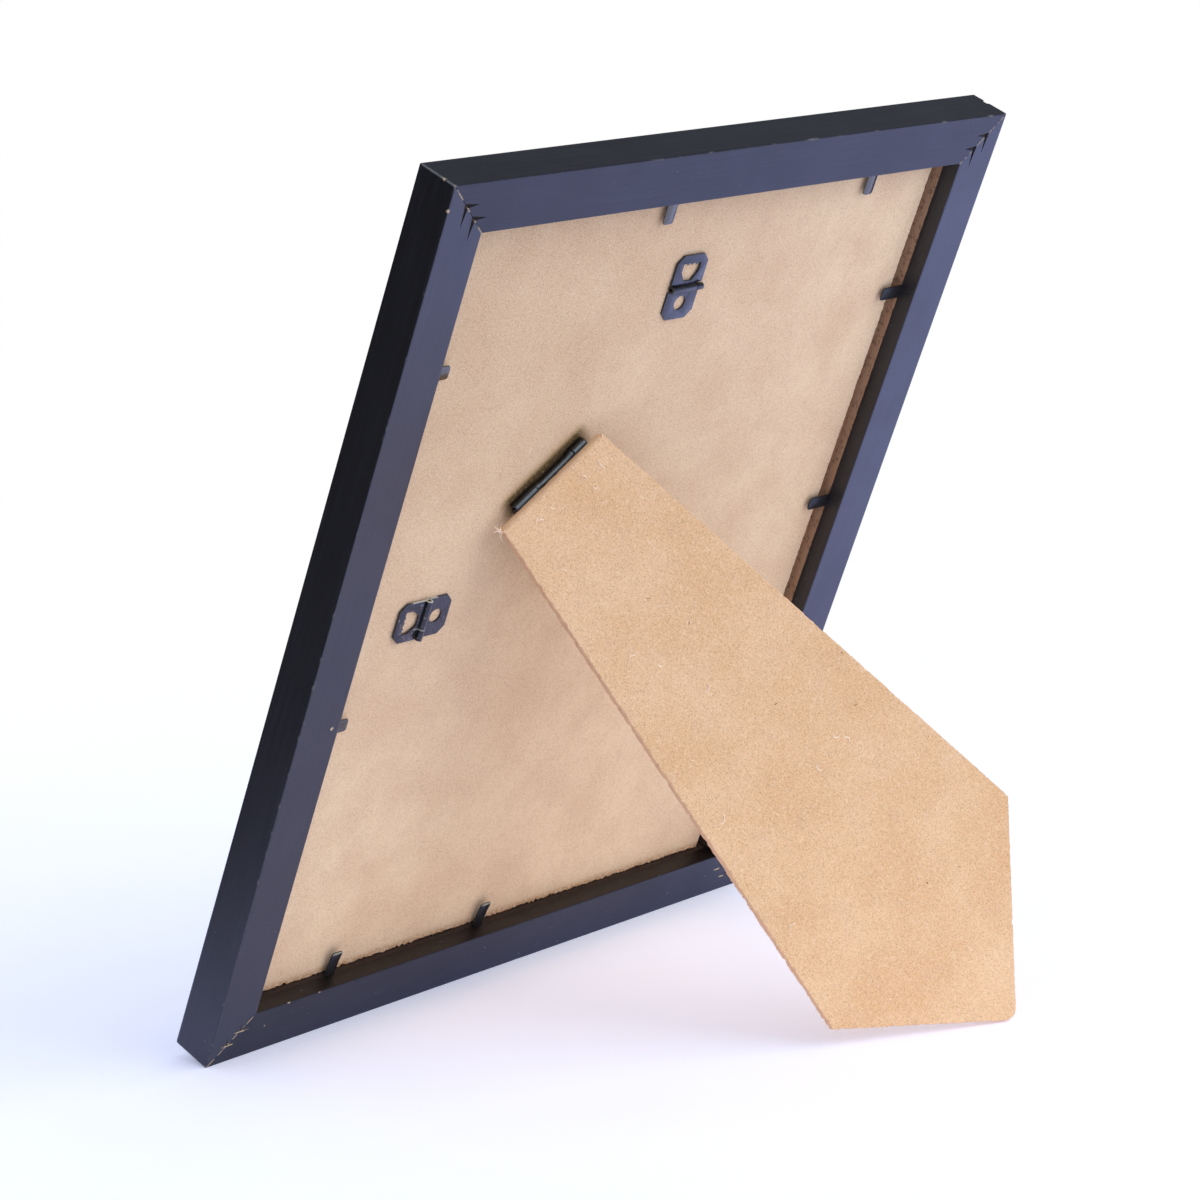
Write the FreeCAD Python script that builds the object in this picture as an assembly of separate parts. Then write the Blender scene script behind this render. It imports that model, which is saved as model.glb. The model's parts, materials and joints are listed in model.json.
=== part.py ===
import FreeCAD, Part

import math
import os

# Easel back photo frame for a 203 x 254 mm print, leaning on its open strut.
# Every piece is first built upright: X runs along the bottom rail, Z up, the picture
# faces -Y and the outside of the rails' backs is Y = 0. place() then leans the whole
# frame back until the strut's foot and the bottom rail's back edge share the floor.
# Seen from behind, +X is on the left. All lengths are in millimetres.

# Moulding and rebate
rebate_width = 208.0
rebate_height = 257.0
rail_back_width = 15.5
lip_width = 5.0
lip_depth = 3.0
front_round = 1.2
lip_round = 0.6
back_round = 0.25

# What lies in the rebate, and the play that each piece has there
pane_side_play = 2.4
pane_top_play = 3.0
pane_thickness = 1.8
print_thickness = 0.25
board_side_play = 3.2
board_top_play = 2.2
board_thickness = 2.5
board_recess = 6.8

# Corner nails: two steel chevrons driven from the back across every mitre
nail_arm = 4.6
nail_gauge = 0.6
nail_depth = 6.0
nail_sink = 1.0
nail_outer_place = 6.2
nail_inner_place = 10.3

# Flexible points: spring steel tabs shot into the rebate wall
tab_width = 4.3
tab_reach = 9.2
tab_gauge = 0.45
tab_shank = 6.0
tab_stub = 0.5
tab_height = 1.25
tab_corner = 1.0
tab_play = 0.05
tab_top_shares = (0.400, 0.833)
tab_bottom_shares = (0.163, 0.471)
tab_left_shares = (0.376, 0.822)
tab_right_shares = (0.528, 0.820)

# Strut: a five sided leg whose foot edges follow the frame's bottom and side when folded
strut_thickness = 3.2
strut_top_width = 41.2
strut_length = 219.8
strut_tip_shift = -0.7
strut_left_reach = 178.7
strut_left_spread = 45.2
strut_right_reach = 168.2
strut_right_spread = 43.1
strut_tip_round = 3.5
strut_corner_round = 0.8
strut_start = 0.4
strut_fold_side_gap = 0.5
strut_fold_bottom_gap = 1.7
strut_hinge_angle = 41.0
strut_open_angle = 42.0

# Strut hinge
hinge_first_length = 8.7
hinge_middle_length = 14.9
hinge_last_length = 5.0
hinge_segment_gap = 0.15
hinge_axis_shift = 1.85
hinge_leaf_length = 22.0
hinge_pin_radius = 0.95
hinge_play = 0.05
strut_leaf_gauge = 0.7
board_leaf_gauge = 0.45
hinge_lift = 0.1
hinge_pin_recess = 1.2
heel_length = 1.0
rivet_head_radius = 2.1
rivet_head_height = 0.6
rivet_shank_radius = 1.1
rivet_blind_depth = 2.4
board_rivet_place = 15.0
strut_rivet_place = 8.5
rivet_spread = 15.0

# Hinged hangers with a toothed loop
hanger_width = 13.2
hanger_plate_reach = 10.4
hanger_loop_reach = 10.6
hanger_gauge = 0.6
hanger_corner = 2.4
hanger_knuckle_radius = 1.1
hanger_pin_radius = 0.5
hanger_play = 0.05
hanger_long_knuckle = 10.3
hanger_short_knuckle = 2.8
hanger_seam = 0.12
hanger_loop_lift = 0.35
hanger_axis_lift = 0.15
hanger_pin_recess = 0.6
hanger_hole_radius = 2.3
hanger_hole_place = 5.2
loop_hole_near = 2.2
loop_hole_far = 7.8
loop_hole_shoulder = 5.2
loop_hole_width = 7.4
loop_hole_near_width = 3.4
tooth_count = 3
tooth_height = 0.55
tooth_width = 1.1
barb_place = 5.0
barb_spread = 7.6
barb_width = 1.4
barb_gauge = 0.5
barb_depth = 1.6
hanger_edge_distance = 19.0
top_hanger_shift = 1.1
hanger_flip_angle = 175.0

# One overrun serves every cut
overrun = 2.0

# Derived sizes
frame_width = rebate_width + 2 * rail_back_width
frame_height = rebate_height + 2 * rail_back_width
pane_width = rebate_width - 2 * pane_side_play
pane_height = rebate_height - pane_top_play
board_width = rebate_width - board_side_play
board_height = rebate_height - board_top_play
rail_depth = lip_depth + pane_thickness + print_thickness + board_thickness + board_recess
rail_full_width = rail_back_width + lip_width
rebate_floor = lip_depth - rail_depth
board_back = -board_recess
board_front = board_back - board_thickness
wall_x = rebate_width / 2
wall_low = rail_back_width
wall_high = rail_back_width + rebate_height
knuckle_radius = hinge_pin_radius + hinge_play + strut_leaf_gauge
board_knuckle_radius = hinge_pin_radius + board_leaf_gauge
hinge_height = knuckle_radius + hinge_lift
hinge_width = hinge_first_length + hinge_middle_length + hinge_last_length + 2 * hinge_segment_gap
hanger_height = hanger_knuckle_radius + hanger_axis_lift
tab_level = board_back + tab_height + tab_gauge / 2


def vec(x, y, z):
    return FreeCAD.Vector(x, y, z)


def box(x0, x1, y0, y1, z0, z1):
    """A box between two opposite corners."""
    return Part.makeBox(x1 - x0, y1 - y0, z1 - z0, vec(x0, y0, z0))


def prism(points, direction):
    """A straight sided solid on a closed outline."""
    outline = Part.makePolygon([vec(*p) for p in points] + [vec(*points[0])])
    return Part.Face(outline).extrude(vec(*direction))


def rounded_outline(corners, radii):
    """A flat closed wire in XY through corners; a corner with no radius stays sharp."""
    count = len(corners)
    edges = []
    starts = []
    ends = []
    arcs = []
    for i in range(count):
        here = vec(*corners[i], 0)
        back = (vec(*corners[i - 1], 0) - here).normalize()
        ahead = (vec(*corners[(i + 1) % count], 0) - here).normalize()
        half = back.getAngle(ahead) / 2
        trim = radii[i] / math.tan(half)
        starts.append(here + back * trim)
        ends.append(here + ahead * trim)
        middle = here + (back + ahead).normalize() * (radii[i] / math.sin(half) - radii[i])
        arcs.append(middle)
    for i in range(count):
        if radii[i] > 0:
            edges.append(Part.Arc(starts[i], arcs[i], ends[i]).toShape())
        edges.append(Part.LineSegment(ends[i], starts[(i + 1) % count]).toShape())
    return Part.Wire(edges)


def slab(corners, radii, low, high):
    """A flat plate on a rounded outline, between two heights."""
    plate = Part.Face(rounded_outline(corners, radii)).extrude(vec(0, 0, high - low))
    plate.translate(vec(0, 0, low))
    return plate


def frame_of(x_axis, y_axis, origin):
    """The placement that carries a local XY plane to the two given directions."""
    z_axis = x_axis.cross(y_axis)
    turn = FreeCAD.Rotation(x_axis, y_axis, z_axis, "ZXY")
    return FreeCAD.Placement(origin, turn)


def moved(shape, placement):
    """A copy of a shape, carried to a placement."""
    copy = shape.copy()
    copy.Placement = placement.multiply(copy.Placement)
    return copy


# Rails


def rail_profile_face():
    """The moulding's section: X is the way in from the outer side, Y the depth."""
    front = -rail_depth
    corners = [
        (0, 0),
        (0, front),
        (rail_full_width, front),
        (rail_full_width, rebate_floor),
        (rail_back_width, rebate_floor),
        (rail_back_width, 0),
    ]
    radii = [back_round, front_round, lip_round, back_round, 0, back_round]
    return Part.Face(rounded_outline(corners, radii))


def rail(length, placement):
    """One mitred length of moulding, its outer side along the placement's Y axis."""
    bar = rail_profile_face()
    bar.rotate(vec(0, 0, 0), vec(1, 0, 0), 90)
    bar = bar.extrude(vec(0, length, 0))
    run = rail_full_width + overrun
    plan = [
        (-overrun, -overrun, -rail_depth - overrun),
        (run, run, -rail_depth - overrun),
        (run, length - run, -rail_depth - overrun),
        (-overrun, length + overrun, -rail_depth - overrun),
    ]
    mitred = bar.common(prism(plan, (0, 0, rail_depth + 2 * overrun)))
    return moved(mitred, placement)


def rail_placements():
    """Local X points into the frame, local Z out of its back."""
    inward_left = frame_of(vec(-1, 0, 0), vec(0, 0, 1), vec(frame_width / 2, 0, 0))
    inward_right = frame_of(vec(1, 0, 0), vec(0, 0, -1), vec(-frame_width / 2, 0, frame_height))
    inward_top = frame_of(vec(0, 0, -1), vec(-1, 0, 0), vec(frame_width / 2, 0, frame_height))
    inward_bottom = frame_of(vec(0, 0, 1), vec(1, 0, 0), vec(-frame_width / 2, 0, 0))
    return {
        "rail_left": (frame_height, inward_left),
        "rail_right": (frame_height, inward_right),
        "rail_top": (frame_width, inward_top),
        "rail_bottom": (frame_width, inward_bottom),
    }


def chevron(place, top, bottom):
    """A right angled steel chevron on the mitre, place away from both outer sides."""
    tip = place - nail_gauge / 2
    end = place + nail_arm
    inner = place + nail_gauge / 2
    points = [
        (tip, tip, bottom),
        (end, tip, bottom),
        (end, inner, bottom),
        (inner, inner, bottom),
        (inner, end, bottom),
        (tip, end, bottom),
    ]
    return prism(points, (0, 0, top - bottom))


def corner_placements():
    """One local frame per outer corner, X and Y along the two rails, Z out of the back."""
    side = frame_width / 2
    return [
        frame_of(vec(-1, 0, 0), vec(0, 0, 1), vec(side, 0, 0)),
        frame_of(vec(0, 0, 1), vec(1, 0, 0), vec(-side, 0, 0)),
        frame_of(vec(1, 0, 0), vec(0, 0, -1), vec(-side, 0, frame_height)),
        frame_of(vec(0, 0, -1), vec(-1, 0, 0), vec(side, 0, frame_height)),
    ]


def corner_nails(top):
    """All the chevrons, from below the back face up to the height asked for."""
    nails = []
    for placement in corner_placements():
        for place in (nail_outer_place, nail_inner_place):
            nails.append(moved(chevron(place, top, -nail_sink - nail_depth), placement))
    return nails


# Contents of the rebate


def glass_pane():
    half = pane_width / 2
    back = rebate_floor + pane_thickness
    return box(-half, half, rebate_floor, back, wall_low, wall_low + pane_height)


def picture_insert():
    half = pane_width / 2
    front = rebate_floor + pane_thickness
    return box(-half, half, front, front + print_thickness, wall_low, wall_low + pane_height)


def plain_back_board():
    """The board lies against the bottom wall and against the wall on the +X side."""
    return box(wall_x - board_width, wall_x, board_front, board_back, wall_low, wall_low + board_height)


# Flexible points


def tab_placements():
    """Local X points away from the wall, local Z out of the back, origin on the wall."""
    places = {}
    for number, share in enumerate(tab_top_shares, 1):
        origin = vec(wall_x - share * rebate_width, tab_level, wall_high)
        places["tab_top_%d" % number] = frame_of(vec(0, 0, -1), vec(-1, 0, 0), origin)
    for number, share in enumerate(tab_bottom_shares, 1):
        origin = vec(wall_x - share * rebate_width, tab_level, wall_low)
        places["tab_bottom_%d" % number] = frame_of(vec(0, 0, 1), vec(1, 0, 0), origin)
    for number, share in enumerate(tab_left_shares, 1):
        origin = vec(wall_x, tab_level, wall_low + share * rebate_height)
        places["tab_left_%d" % number] = frame_of(vec(-1, 0, 0), vec(0, 0, 1), origin)
    for number, share in enumerate(tab_right_shares, 1):
        origin = vec(-wall_x, tab_level, wall_low + share * rebate_height)
        places["tab_right_%d" % number] = frame_of(vec(1, 0, 0), vec(0, 0, -1), origin)
    return places


def tab_shank_solid():
    """The part of a tab that is held in the wood, with a stub past the wall."""
    half = tab_width / 2
    low = -tab_gauge / 2
    return box(-tab_shank, tab_stub, -half, half, low, low + tab_gauge)


def tab_axis_place():
    return tab_stub + tab_play + tab_gauge / 2


def tab_blade():
    """The part of a tab that bends up, with a round root on its bending line."""
    half = tab_width / 2
    root = tab_axis_place()
    corners = [(root, -half), (tab_reach, -half), (tab_reach, half), (root, half)]
    sharp = tab_gauge / 8
    radii = [sharp, tab_corner, tab_corner, sharp]
    blade = slab(corners, radii, -tab_gauge / 2, tab_gauge / 2)
    roll = Part.makeCylinder(tab_gauge / 2, tab_width, vec(root, -half, 0), vec(0, 1, 0))
    return blade.fuse(roll).removeSplitter()


# Strut and its hinge, in a local frame that lies on the board: X runs along the
# folded strut, Y along the hinge pin and Z out of the back.


def strut_tip_fold():
    """Where the sharp tip of the folded strut lies, beside the rebate's corner."""
    return (-wall_x + strut_fold_side_gap, wall_low + strut_fold_bottom_gap)


def strut_placement():
    angle = math.radians(strut_hinge_angle)
    along = vec(-math.sin(angle), 0, -math.cos(angle))
    pin = vec(-math.cos(angle), 0, math.sin(angle))
    tip_x, tip_z = strut_tip_fold()
    tip = vec(tip_x, board_back, tip_z)
    origin = tip - along * strut_length - pin * strut_tip_shift
    return frame_of(along, pin, origin)


def opened(shape):
    """A strut piece turned from folded flat to its open stop."""
    copy = shape.copy()
    copy.rotate(vec(0, 0, hinge_height), vec(0, 1, 0), -strut_open_angle)
    return copy


def strut_plate():
    inner = hinge_height + knuckle_radius
    half = strut_top_width / 2
    corners = [
        (strut_start, -half),
        (strut_left_reach, -strut_left_spread),
        (strut_length, strut_tip_shift),
        (strut_right_reach, strut_right_spread),
        (strut_start, half),
    ]
    small = strut_corner_round
    radii = [small, small, strut_tip_round, small, small]
    return slab(corners, radii, inner, inner + strut_thickness)


def hinge_spans():
    """The start and end of each knuckle along the pin."""
    start = hinge_axis_shift - hinge_width / 2
    first = (start, start + hinge_first_length)
    middle = (first[1] + hinge_segment_gap, first[1] + hinge_segment_gap + hinge_middle_length)
    last = (middle[1] + hinge_segment_gap, middle[1] + hinge_segment_gap + hinge_last_length)
    return first, middle, last


def hinge_bar(radius, span):
    """A round bar on the strut hinge's axis."""
    return Part.makeCylinder(radius, span[1] - span[0], vec(0, span[0], hinge_height), vec(0, 1, 0))


def hinge_pin():
    first, middle, last = hinge_spans()
    return hinge_bar(hinge_pin_radius, (first[0] + hinge_pin_recess, last[1] - hinge_pin_recess))


def stop_heel(span):
    """The flat on a knuckle that meets the board when the strut is open."""
    heel = box(-heel_length, 0, span[0], span[1], 0, strut_leaf_gauge)
    heel.rotate(vec(0, 0, hinge_height), vec(0, 1, 0), strut_open_angle)
    return heel


def rivet_rows():
    middle = hinge_axis_shift
    return (middle - rivet_spread / 2, middle + rivet_spread / 2)


def strut_leaf():
    """The sheet under the strut, rolled into the first and last knuckles."""
    first, middle, last = hinge_spans()
    top = hinge_height + knuckle_radius
    low = top - strut_leaf_gauge
    clear = knuckle_radius + hinge_lift
    leaf = box(clear, hinge_leaf_length, first[0], last[1], low, top)
    for span in (first, last):
        leaf = leaf.fuse(box(0, clear + hinge_lift, span[0], span[1], low, top))
        leaf = leaf.fuse(hinge_bar(knuckle_radius, span))
        leaf = leaf.fuse(stop_heel(span))
    whole = (first[0] - overrun, last[1] + overrun)
    leaf = leaf.cut(hinge_bar(hinge_pin_radius + hinge_play, whole))
    for solid in rivets(strut_rivet_place, low - overrun, top + overrun, rivet_shank_radius):
        leaf = leaf.cut(solid)
    return leaf.removeSplitter()


def board_leaf():
    """The sheet on the board, rolled into the middle knuckle."""
    first, middle, last = hinge_spans()
    clear = knuckle_radius + hinge_lift
    leaf = box(clear, hinge_leaf_length, first[0], last[1], 0, board_leaf_gauge)
    leaf = leaf.fuse(box(0, clear + hinge_lift, middle[0], middle[1], 0, board_leaf_gauge))
    leaf = leaf.fuse(hinge_bar(board_knuckle_radius, middle))
    leaf = leaf.cut(hinge_bar(hinge_pin_radius, (first[0], last[1])))
    for solid in rivets(board_rivet_place, -overrun, board_leaf_gauge + overrun, rivet_shank_radius):
        leaf = leaf.cut(solid)
    return leaf.removeSplitter()


def rivets(place, low, high, radius):
    """One upright round bar per rivet row."""
    bars = []
    for row in rivet_rows():
        bars.append(Part.makeCylinder(radius, high - low, vec(place, row, low), vec(0, 0, 1)))
    return bars


def board_rivets():
    """Rivets that clamp the board leaf, set flush in the board's front."""
    shanks = rivets(board_rivet_place, -board_thickness, board_leaf_gauge, rivet_shank_radius)
    head_top = board_leaf_gauge + rivet_head_height
    heads = rivets(board_rivet_place, board_leaf_gauge, head_top, rivet_head_radius)
    return [shank.fuse(head).removeSplitter() for shank, head in zip(shanks, heads)]


def strut_rivets():
    """Blind rivets that hold the strut leaf to the strut's inner face."""
    inner = hinge_height + knuckle_radius
    low = inner - strut_leaf_gauge
    shanks = rivets(strut_rivet_place, low, inner + rivet_blind_depth, rivet_shank_radius)
    heads = rivets(strut_rivet_place, low - rivet_head_height, low, rivet_head_radius)
    return [shank.fuse(head).removeSplitter() for shank, head in zip(shanks, heads)]


# Hangers, in a local frame that lies on the board: X runs along the pin, Y towards
# the toothed loop and Z out of the back.


def hanger_spans(end):
    """The long and the short knuckle along X; the short one stands out at one end."""
    start = -hanger_width / 2
    long_span = (start, start + hanger_long_knuckle)
    short_start = long_span[1] + hanger_seam
    short_span = (short_start, short_start + hanger_short_knuckle)
    if end > 0:
        return long_span, short_span
    return tuple(-x for x in reversed(long_span)), tuple(-x for x in reversed(short_span))


def hanger_bar(radius, span):
    return Part.makeCylinder(radius, span[1] - span[0], vec(span[0], 0, hanger_height), vec(1, 0, 0))


def hanger_outline(near, far, low):
    """Half of the eight sided plate, from near the pin to its chamfered far edge."""
    half = hanger_width / 2
    shoulder = far - math.copysign(hanger_corner, far)
    points = [
        (-half, near, low),
        (half, near, low),
        (half, shoulder, low),
        (half - hanger_corner, far, low),
        (hanger_corner - half, far, low),
        (-half, shoulder, low),
    ]
    return prism(points, (0, 0, hanger_gauge))


def hanger_neck(span, near, far, low):
    """The strip of sheet that joins a leaf to its knuckle."""
    left = max(span[0], -hanger_width / 2)
    right = min(span[1], hanger_width / 2)
    return box(left, right, min(near, far), max(near, far), low, low + hanger_gauge)


def barbs():
    """Two prongs pressed out of the fixed leaf into the board."""
    prongs = []
    for side in (-barb_spread / 2, barb_spread / 2):
        left = side - barb_width / 2
        near = -barb_place - barb_gauge / 2
        prongs.append(box(left, left + barb_width, near, near + barb_gauge, -barb_depth, 0))
    return prongs


def hanger_plate(end):
    """The fixed leaf with its round hole and the short knuckle."""
    long_span, short_span = hanger_spans(end)
    clear = hanger_knuckle_radius + hanger_axis_lift
    leaf = hanger_outline(-clear, -hanger_plate_reach, 0)
    leaf = leaf.fuse(hanger_neck(short_span, 0, -clear, 0))
    leaf = leaf.fuse(hanger_bar(hanger_knuckle_radius, short_span))
    leaf = leaf.cut(hanger_bar(hanger_pin_radius, (-hanger_width, hanger_width)))
    hole_base = vec(0, -hanger_hole_place, -overrun)
    hole = Part.makeCylinder(hanger_hole_radius, hanger_gauge + 2 * overrun, hole_base, vec(0, 0, 1))
    leaf = leaf.cut(hole)
    for prong in barbs():
        leaf = leaf.fuse(prong)
    return leaf.removeSplitter()


def toothed_hole():
    """The nail opening: narrow at the pin, with a row of teeth on its far edge."""
    near = loop_hole_near_width / 2
    half = loop_hole_width / 2
    low = -overrun
    points = [(-near, loop_hole_near, low), (near, loop_hole_near, low)]
    points += [(half, loop_hole_shoulder, low), (half, loop_hole_far, low)]
    pitch = loop_hole_width / (tooth_count + 1)
    for i in range(tooth_count):
        middle = half - (i + 1) * pitch
        points.append((middle + tooth_width / 2, loop_hole_far, low))
        points.append((middle, loop_hole_far - tooth_height, low))
        points.append((middle - tooth_width / 2, loop_hole_far, low))
    points += [(-half, loop_hole_far, low), (-half, loop_hole_shoulder, low)]
    return prism(points, (0, 0, hanger_height + 2 * overrun))


def hanger_loop(end):
    """The leaf that flips up, with the toothed hole and the long knuckle."""
    long_span, short_span = hanger_spans(end)
    clear = hanger_knuckle_radius + hanger_axis_lift
    leaf = hanger_outline(clear, hanger_loop_reach, hanger_loop_lift)
    leaf = leaf.fuse(hanger_neck(long_span, 0, clear, hanger_loop_lift))
    leaf = leaf.fuse(hanger_bar(hanger_knuckle_radius, long_span))
    leaf = leaf.cut(hanger_bar(hanger_pin_radius + hanger_play, (-hanger_width, hanger_width)))
    return leaf.cut(toothed_hole()).removeSplitter()


def hanger_pin(end):
    long_span, short_span = hanger_spans(end)
    low = min(long_span[0], short_span[0]) + hanger_pin_recess
    high = max(long_span[1], short_span[1]) - hanger_pin_recess
    return hanger_bar(hanger_pin_radius, (low, high))


def hanger_placements():
    """Name, local frame and the end at which the short knuckle stands out."""
    board_middle_x = wall_x - board_width / 2
    board_middle_z = wall_low + board_height / 2
    inset = hanger_edge_distance + hanger_loop_reach
    top_origin = vec(board_middle_x + top_hanger_shift, board_back, wall_low + board_height - inset)
    side_origin = vec(wall_x - inset, board_back, board_middle_z)
    top = frame_of(vec(-1, 0, 0), vec(0, 0, 1), top_origin)
    side = frame_of(vec(0, 0, 1), vec(1, 0, 0), side_origin)
    return (("top_hanger", top, 1), ("side_hanger", side, -1))


# Leaning the frame


def strut_tip_support(up):
    """The lowest height along up that the open strut's rounded tip reaches."""
    base = strut_placement()
    plane = opened(Part.makeLine(vec(0, 0, hinge_height), vec(strut_length, 0, hinge_height)))
    along = base.Rotation.multVec(plane.Vertexes[1].Point - plane.Vertexes[0].Point).normalize()
    pin = base.Rotation.multVec(vec(0, 1, 0))
    outward = along.cross(pin)
    local_corners = strut_foot_corners()
    inner = hinge_height + knuckle_radius
    heights = []
    for level in (inner, inner + strut_thickness):
        centre = tip_round_centre(local_corners)
        point = opened(Part.Vertex(centre[0], centre[1], level)).Point
        world = base.multVec(point)
        flat_up = up - outward * up.dot(outward)
        heights.append(world.dot(up) - strut_tip_round * flat_up.Length)
    return min(heights)


def strut_foot_corners():
    """The tip and the two corners beside it, in the strut's own plane."""
    tip = vec(strut_length, strut_tip_shift, 0)
    left = vec(strut_left_reach, -strut_left_spread, 0)
    right = vec(strut_right_reach, strut_right_spread, 0)
    return left, tip, right


def tip_round_centre(corners):
    """The centre of the arc that rounds the strut's tip."""
    left, tip, right = corners
    back = (left - tip).normalize()
    ahead = (right - tip).normalize()
    half = back.getAngle(ahead) / 2
    centre = tip + (back + ahead).normalize() * (strut_tip_round / math.sin(half))
    return (centre.x, centre.y)


def up_direction(lean):
    """The true vertical, seen in the upright frame's own axes."""
    return vec(0, -math.sin(lean), math.cos(lean))


def bottom_edge_support(up):
    """The lowest height along up of the bottom rail's rounded back edge."""
    centre = vec(0, -back_round, back_round)
    return centre.dot(up) - back_round


def find_lean():
    """The lean at which the strut's tip and the bottom rail's back edge are level."""
    low = 0.0
    high = math.radians(60)
    for _ in range(60):
        middle = (low + high) / 2
        up = up_direction(middle)
        if strut_tip_support(up) > bottom_edge_support(up):
            low = middle
        else:
            high = middle
    return (low + high) / 2


def build_upright():
    """Every piece by name, in the upright frame."""
    pieces = {}
    slots = corner_nails(overrun)
    shank_solids = []
    blades = {}
    for name, placement in tab_placements().items():
        shank_solids.append(moved(tab_shank_solid(), placement))
        blades[name] = moved(tab_blade(), placement)
    for name, (length, placement) in rail_placements().items():
        pieces[name] = rail(length, placement).cut(slots + shank_solids)
    pieces["corner_nails"] = Part.makeCompound(corner_nails(-nail_sink))
    pieces["glass_pane"] = glass_pane()
    pieces["picture_insert"] = picture_insert()
    pieces["tab_shanks"] = Part.makeCompound(shank_solids)
    pieces.update(blades)

    base = strut_placement()
    rivets_in_board = [moved(solid, base) for solid in board_rivets()]
    board = plain_back_board().cut(rivets_in_board)
    pieces["strut_board_leaf"] = moved(board_leaf(), base)
    pieces["strut_hinge_pin"] = moved(hinge_pin(), base)
    pieces["board_rivets"] = Part.makeCompound(rivets_in_board)
    pieces["strut_leaf"] = moved(opened(strut_leaf()), base)
    in_strut = strut_rivets()
    pieces["strut_rivets"] = Part.makeCompound([moved(opened(solid), base) for solid in in_strut])
    pieces["strut"] = moved(opened(strut_plate().cut(in_strut)), base)

    for name, placement, end in hanger_placements():
        board = board.cut([moved(prong, placement) for prong in barbs()])
        pieces[name + "_plate"] = moved(hanger_plate(end), placement)
        pieces[name + "_pin"] = moved(hanger_pin(end), placement)
        pieces[name + "_loop"] = moved(hanger_loop(end), placement)
    pieces["back_board"] = board
    return pieces


def place(pieces):
    """The placement that leans the frame and centres it over its own footprint."""
    lean = find_lean()
    turn = FreeCAD.Placement(vec(0, 0, 0), FreeCAD.Rotation(vec(1, 0, 0), -math.degrees(lean)))
    whole = Part.makeCompound([moved(shape, turn) for shape in pieces.values()])
    bounds = whole.optimalBoundingBox(False, False)
    shift = vec(-bounds.Center.x, -bounds.Center.y, -bounds.ZMin)
    return FreeCAD.Placement(shift, FreeCAD.Rotation()).multiply(turn), lean


def main():
    os.makedirs("parts", exist_ok=True)
    pieces = build_upright()
    placement, lean = place(pieces)
    print("lean %.3f degrees" % math.degrees(lean))
    for name, shape in pieces.items():
        moved(shape, placement).exportStep("parts/%s.step" % name)
        print("%-20s solids %d volume %.1f" % (name, len(shape.Solids), shape.Volume))
    return pieces, placement, lean


if __name__ == "__main__":
    main()
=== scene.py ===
import json
import math
import random

import bmesh
import bpy
from mathutils import Matrix, Vector, noise


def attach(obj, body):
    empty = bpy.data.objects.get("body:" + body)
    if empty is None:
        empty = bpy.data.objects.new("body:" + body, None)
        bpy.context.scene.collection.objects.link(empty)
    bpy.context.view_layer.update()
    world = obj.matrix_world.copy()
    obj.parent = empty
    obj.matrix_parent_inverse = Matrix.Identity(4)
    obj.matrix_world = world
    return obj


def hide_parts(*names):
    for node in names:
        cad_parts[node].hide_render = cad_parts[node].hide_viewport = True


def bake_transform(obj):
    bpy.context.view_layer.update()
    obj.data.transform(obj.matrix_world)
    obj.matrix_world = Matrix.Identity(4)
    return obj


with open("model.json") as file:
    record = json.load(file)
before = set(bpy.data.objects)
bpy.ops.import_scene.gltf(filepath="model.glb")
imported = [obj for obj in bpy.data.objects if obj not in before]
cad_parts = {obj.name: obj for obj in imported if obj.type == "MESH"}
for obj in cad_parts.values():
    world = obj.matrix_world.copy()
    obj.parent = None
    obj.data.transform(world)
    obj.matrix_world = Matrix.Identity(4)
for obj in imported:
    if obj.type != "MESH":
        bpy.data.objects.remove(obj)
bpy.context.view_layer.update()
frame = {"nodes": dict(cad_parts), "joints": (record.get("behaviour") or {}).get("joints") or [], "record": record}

bl_info = {
    "name": "Easel back photo frame",
    "version": (1, 0, 0),
    "blender": (4, 5, 0),
    "location": "View3D > Sidebar > Photo Frame",
    "description": "Dresses the frame's rails, back board, strut, hinge, hangers, tabs and pane",
    "category": "Object",
}

MM = 0.001

# The moulding and the rebate, in millimetres, as in the part
FRAME_WIDE = 239.0
FRAME_HIGH = 288.0
RAIL_BACK = 15.5
RAIL_FULL = 20.5
RAIL_DEEP = 14.35
REBATE_FLOOR = -11.35
BOARD_TOP = -6.8
BOARD_THICK = 2.5
BOARD_WIDE = 204.8
BOARD_HIGH = 254.8
PAINT_END = -5.5
NAIL_PLACES = (6.2, 10.3)
NAIL_ARM = 4.6

# The strut, seen in its own plane: along, across
STRUT_CORNERS = ((0.4, -20.6), (178.7, -45.2), (219.8, -0.7), (168.2, 43.1), (0.4, 20.6))
STRUT_INNER = 1.7
STRUT_THICK = 3.2
# How far the strut's end at the hinge is painted lighter
STRUT_LIGHTENED_END = 1.5
STRUT_OPEN = math.radians(42.0)
HINGE_SHIFT = 1.85
# The three knuckles' lengths and the gap between two
HINGE_KNUCKLES = (8.7, 14.9, 5.0, 0.15)
# Radius of the knuckles that turn, and of the fixed one at its ends and how much slimmer it gets
TURNING_KNUCKLE = 2.05
FIXED_KNUCKLE = 1.86
FIXED_SLIMMER = 0.24
# Their bores, and how far a turning sleeve lies off the pin, along the strut and above it
TURNING_BORE = 1.02
FIXED_BORE = 0.98
TURNING_OFF_PIN = (0.147, 0.163)

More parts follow.
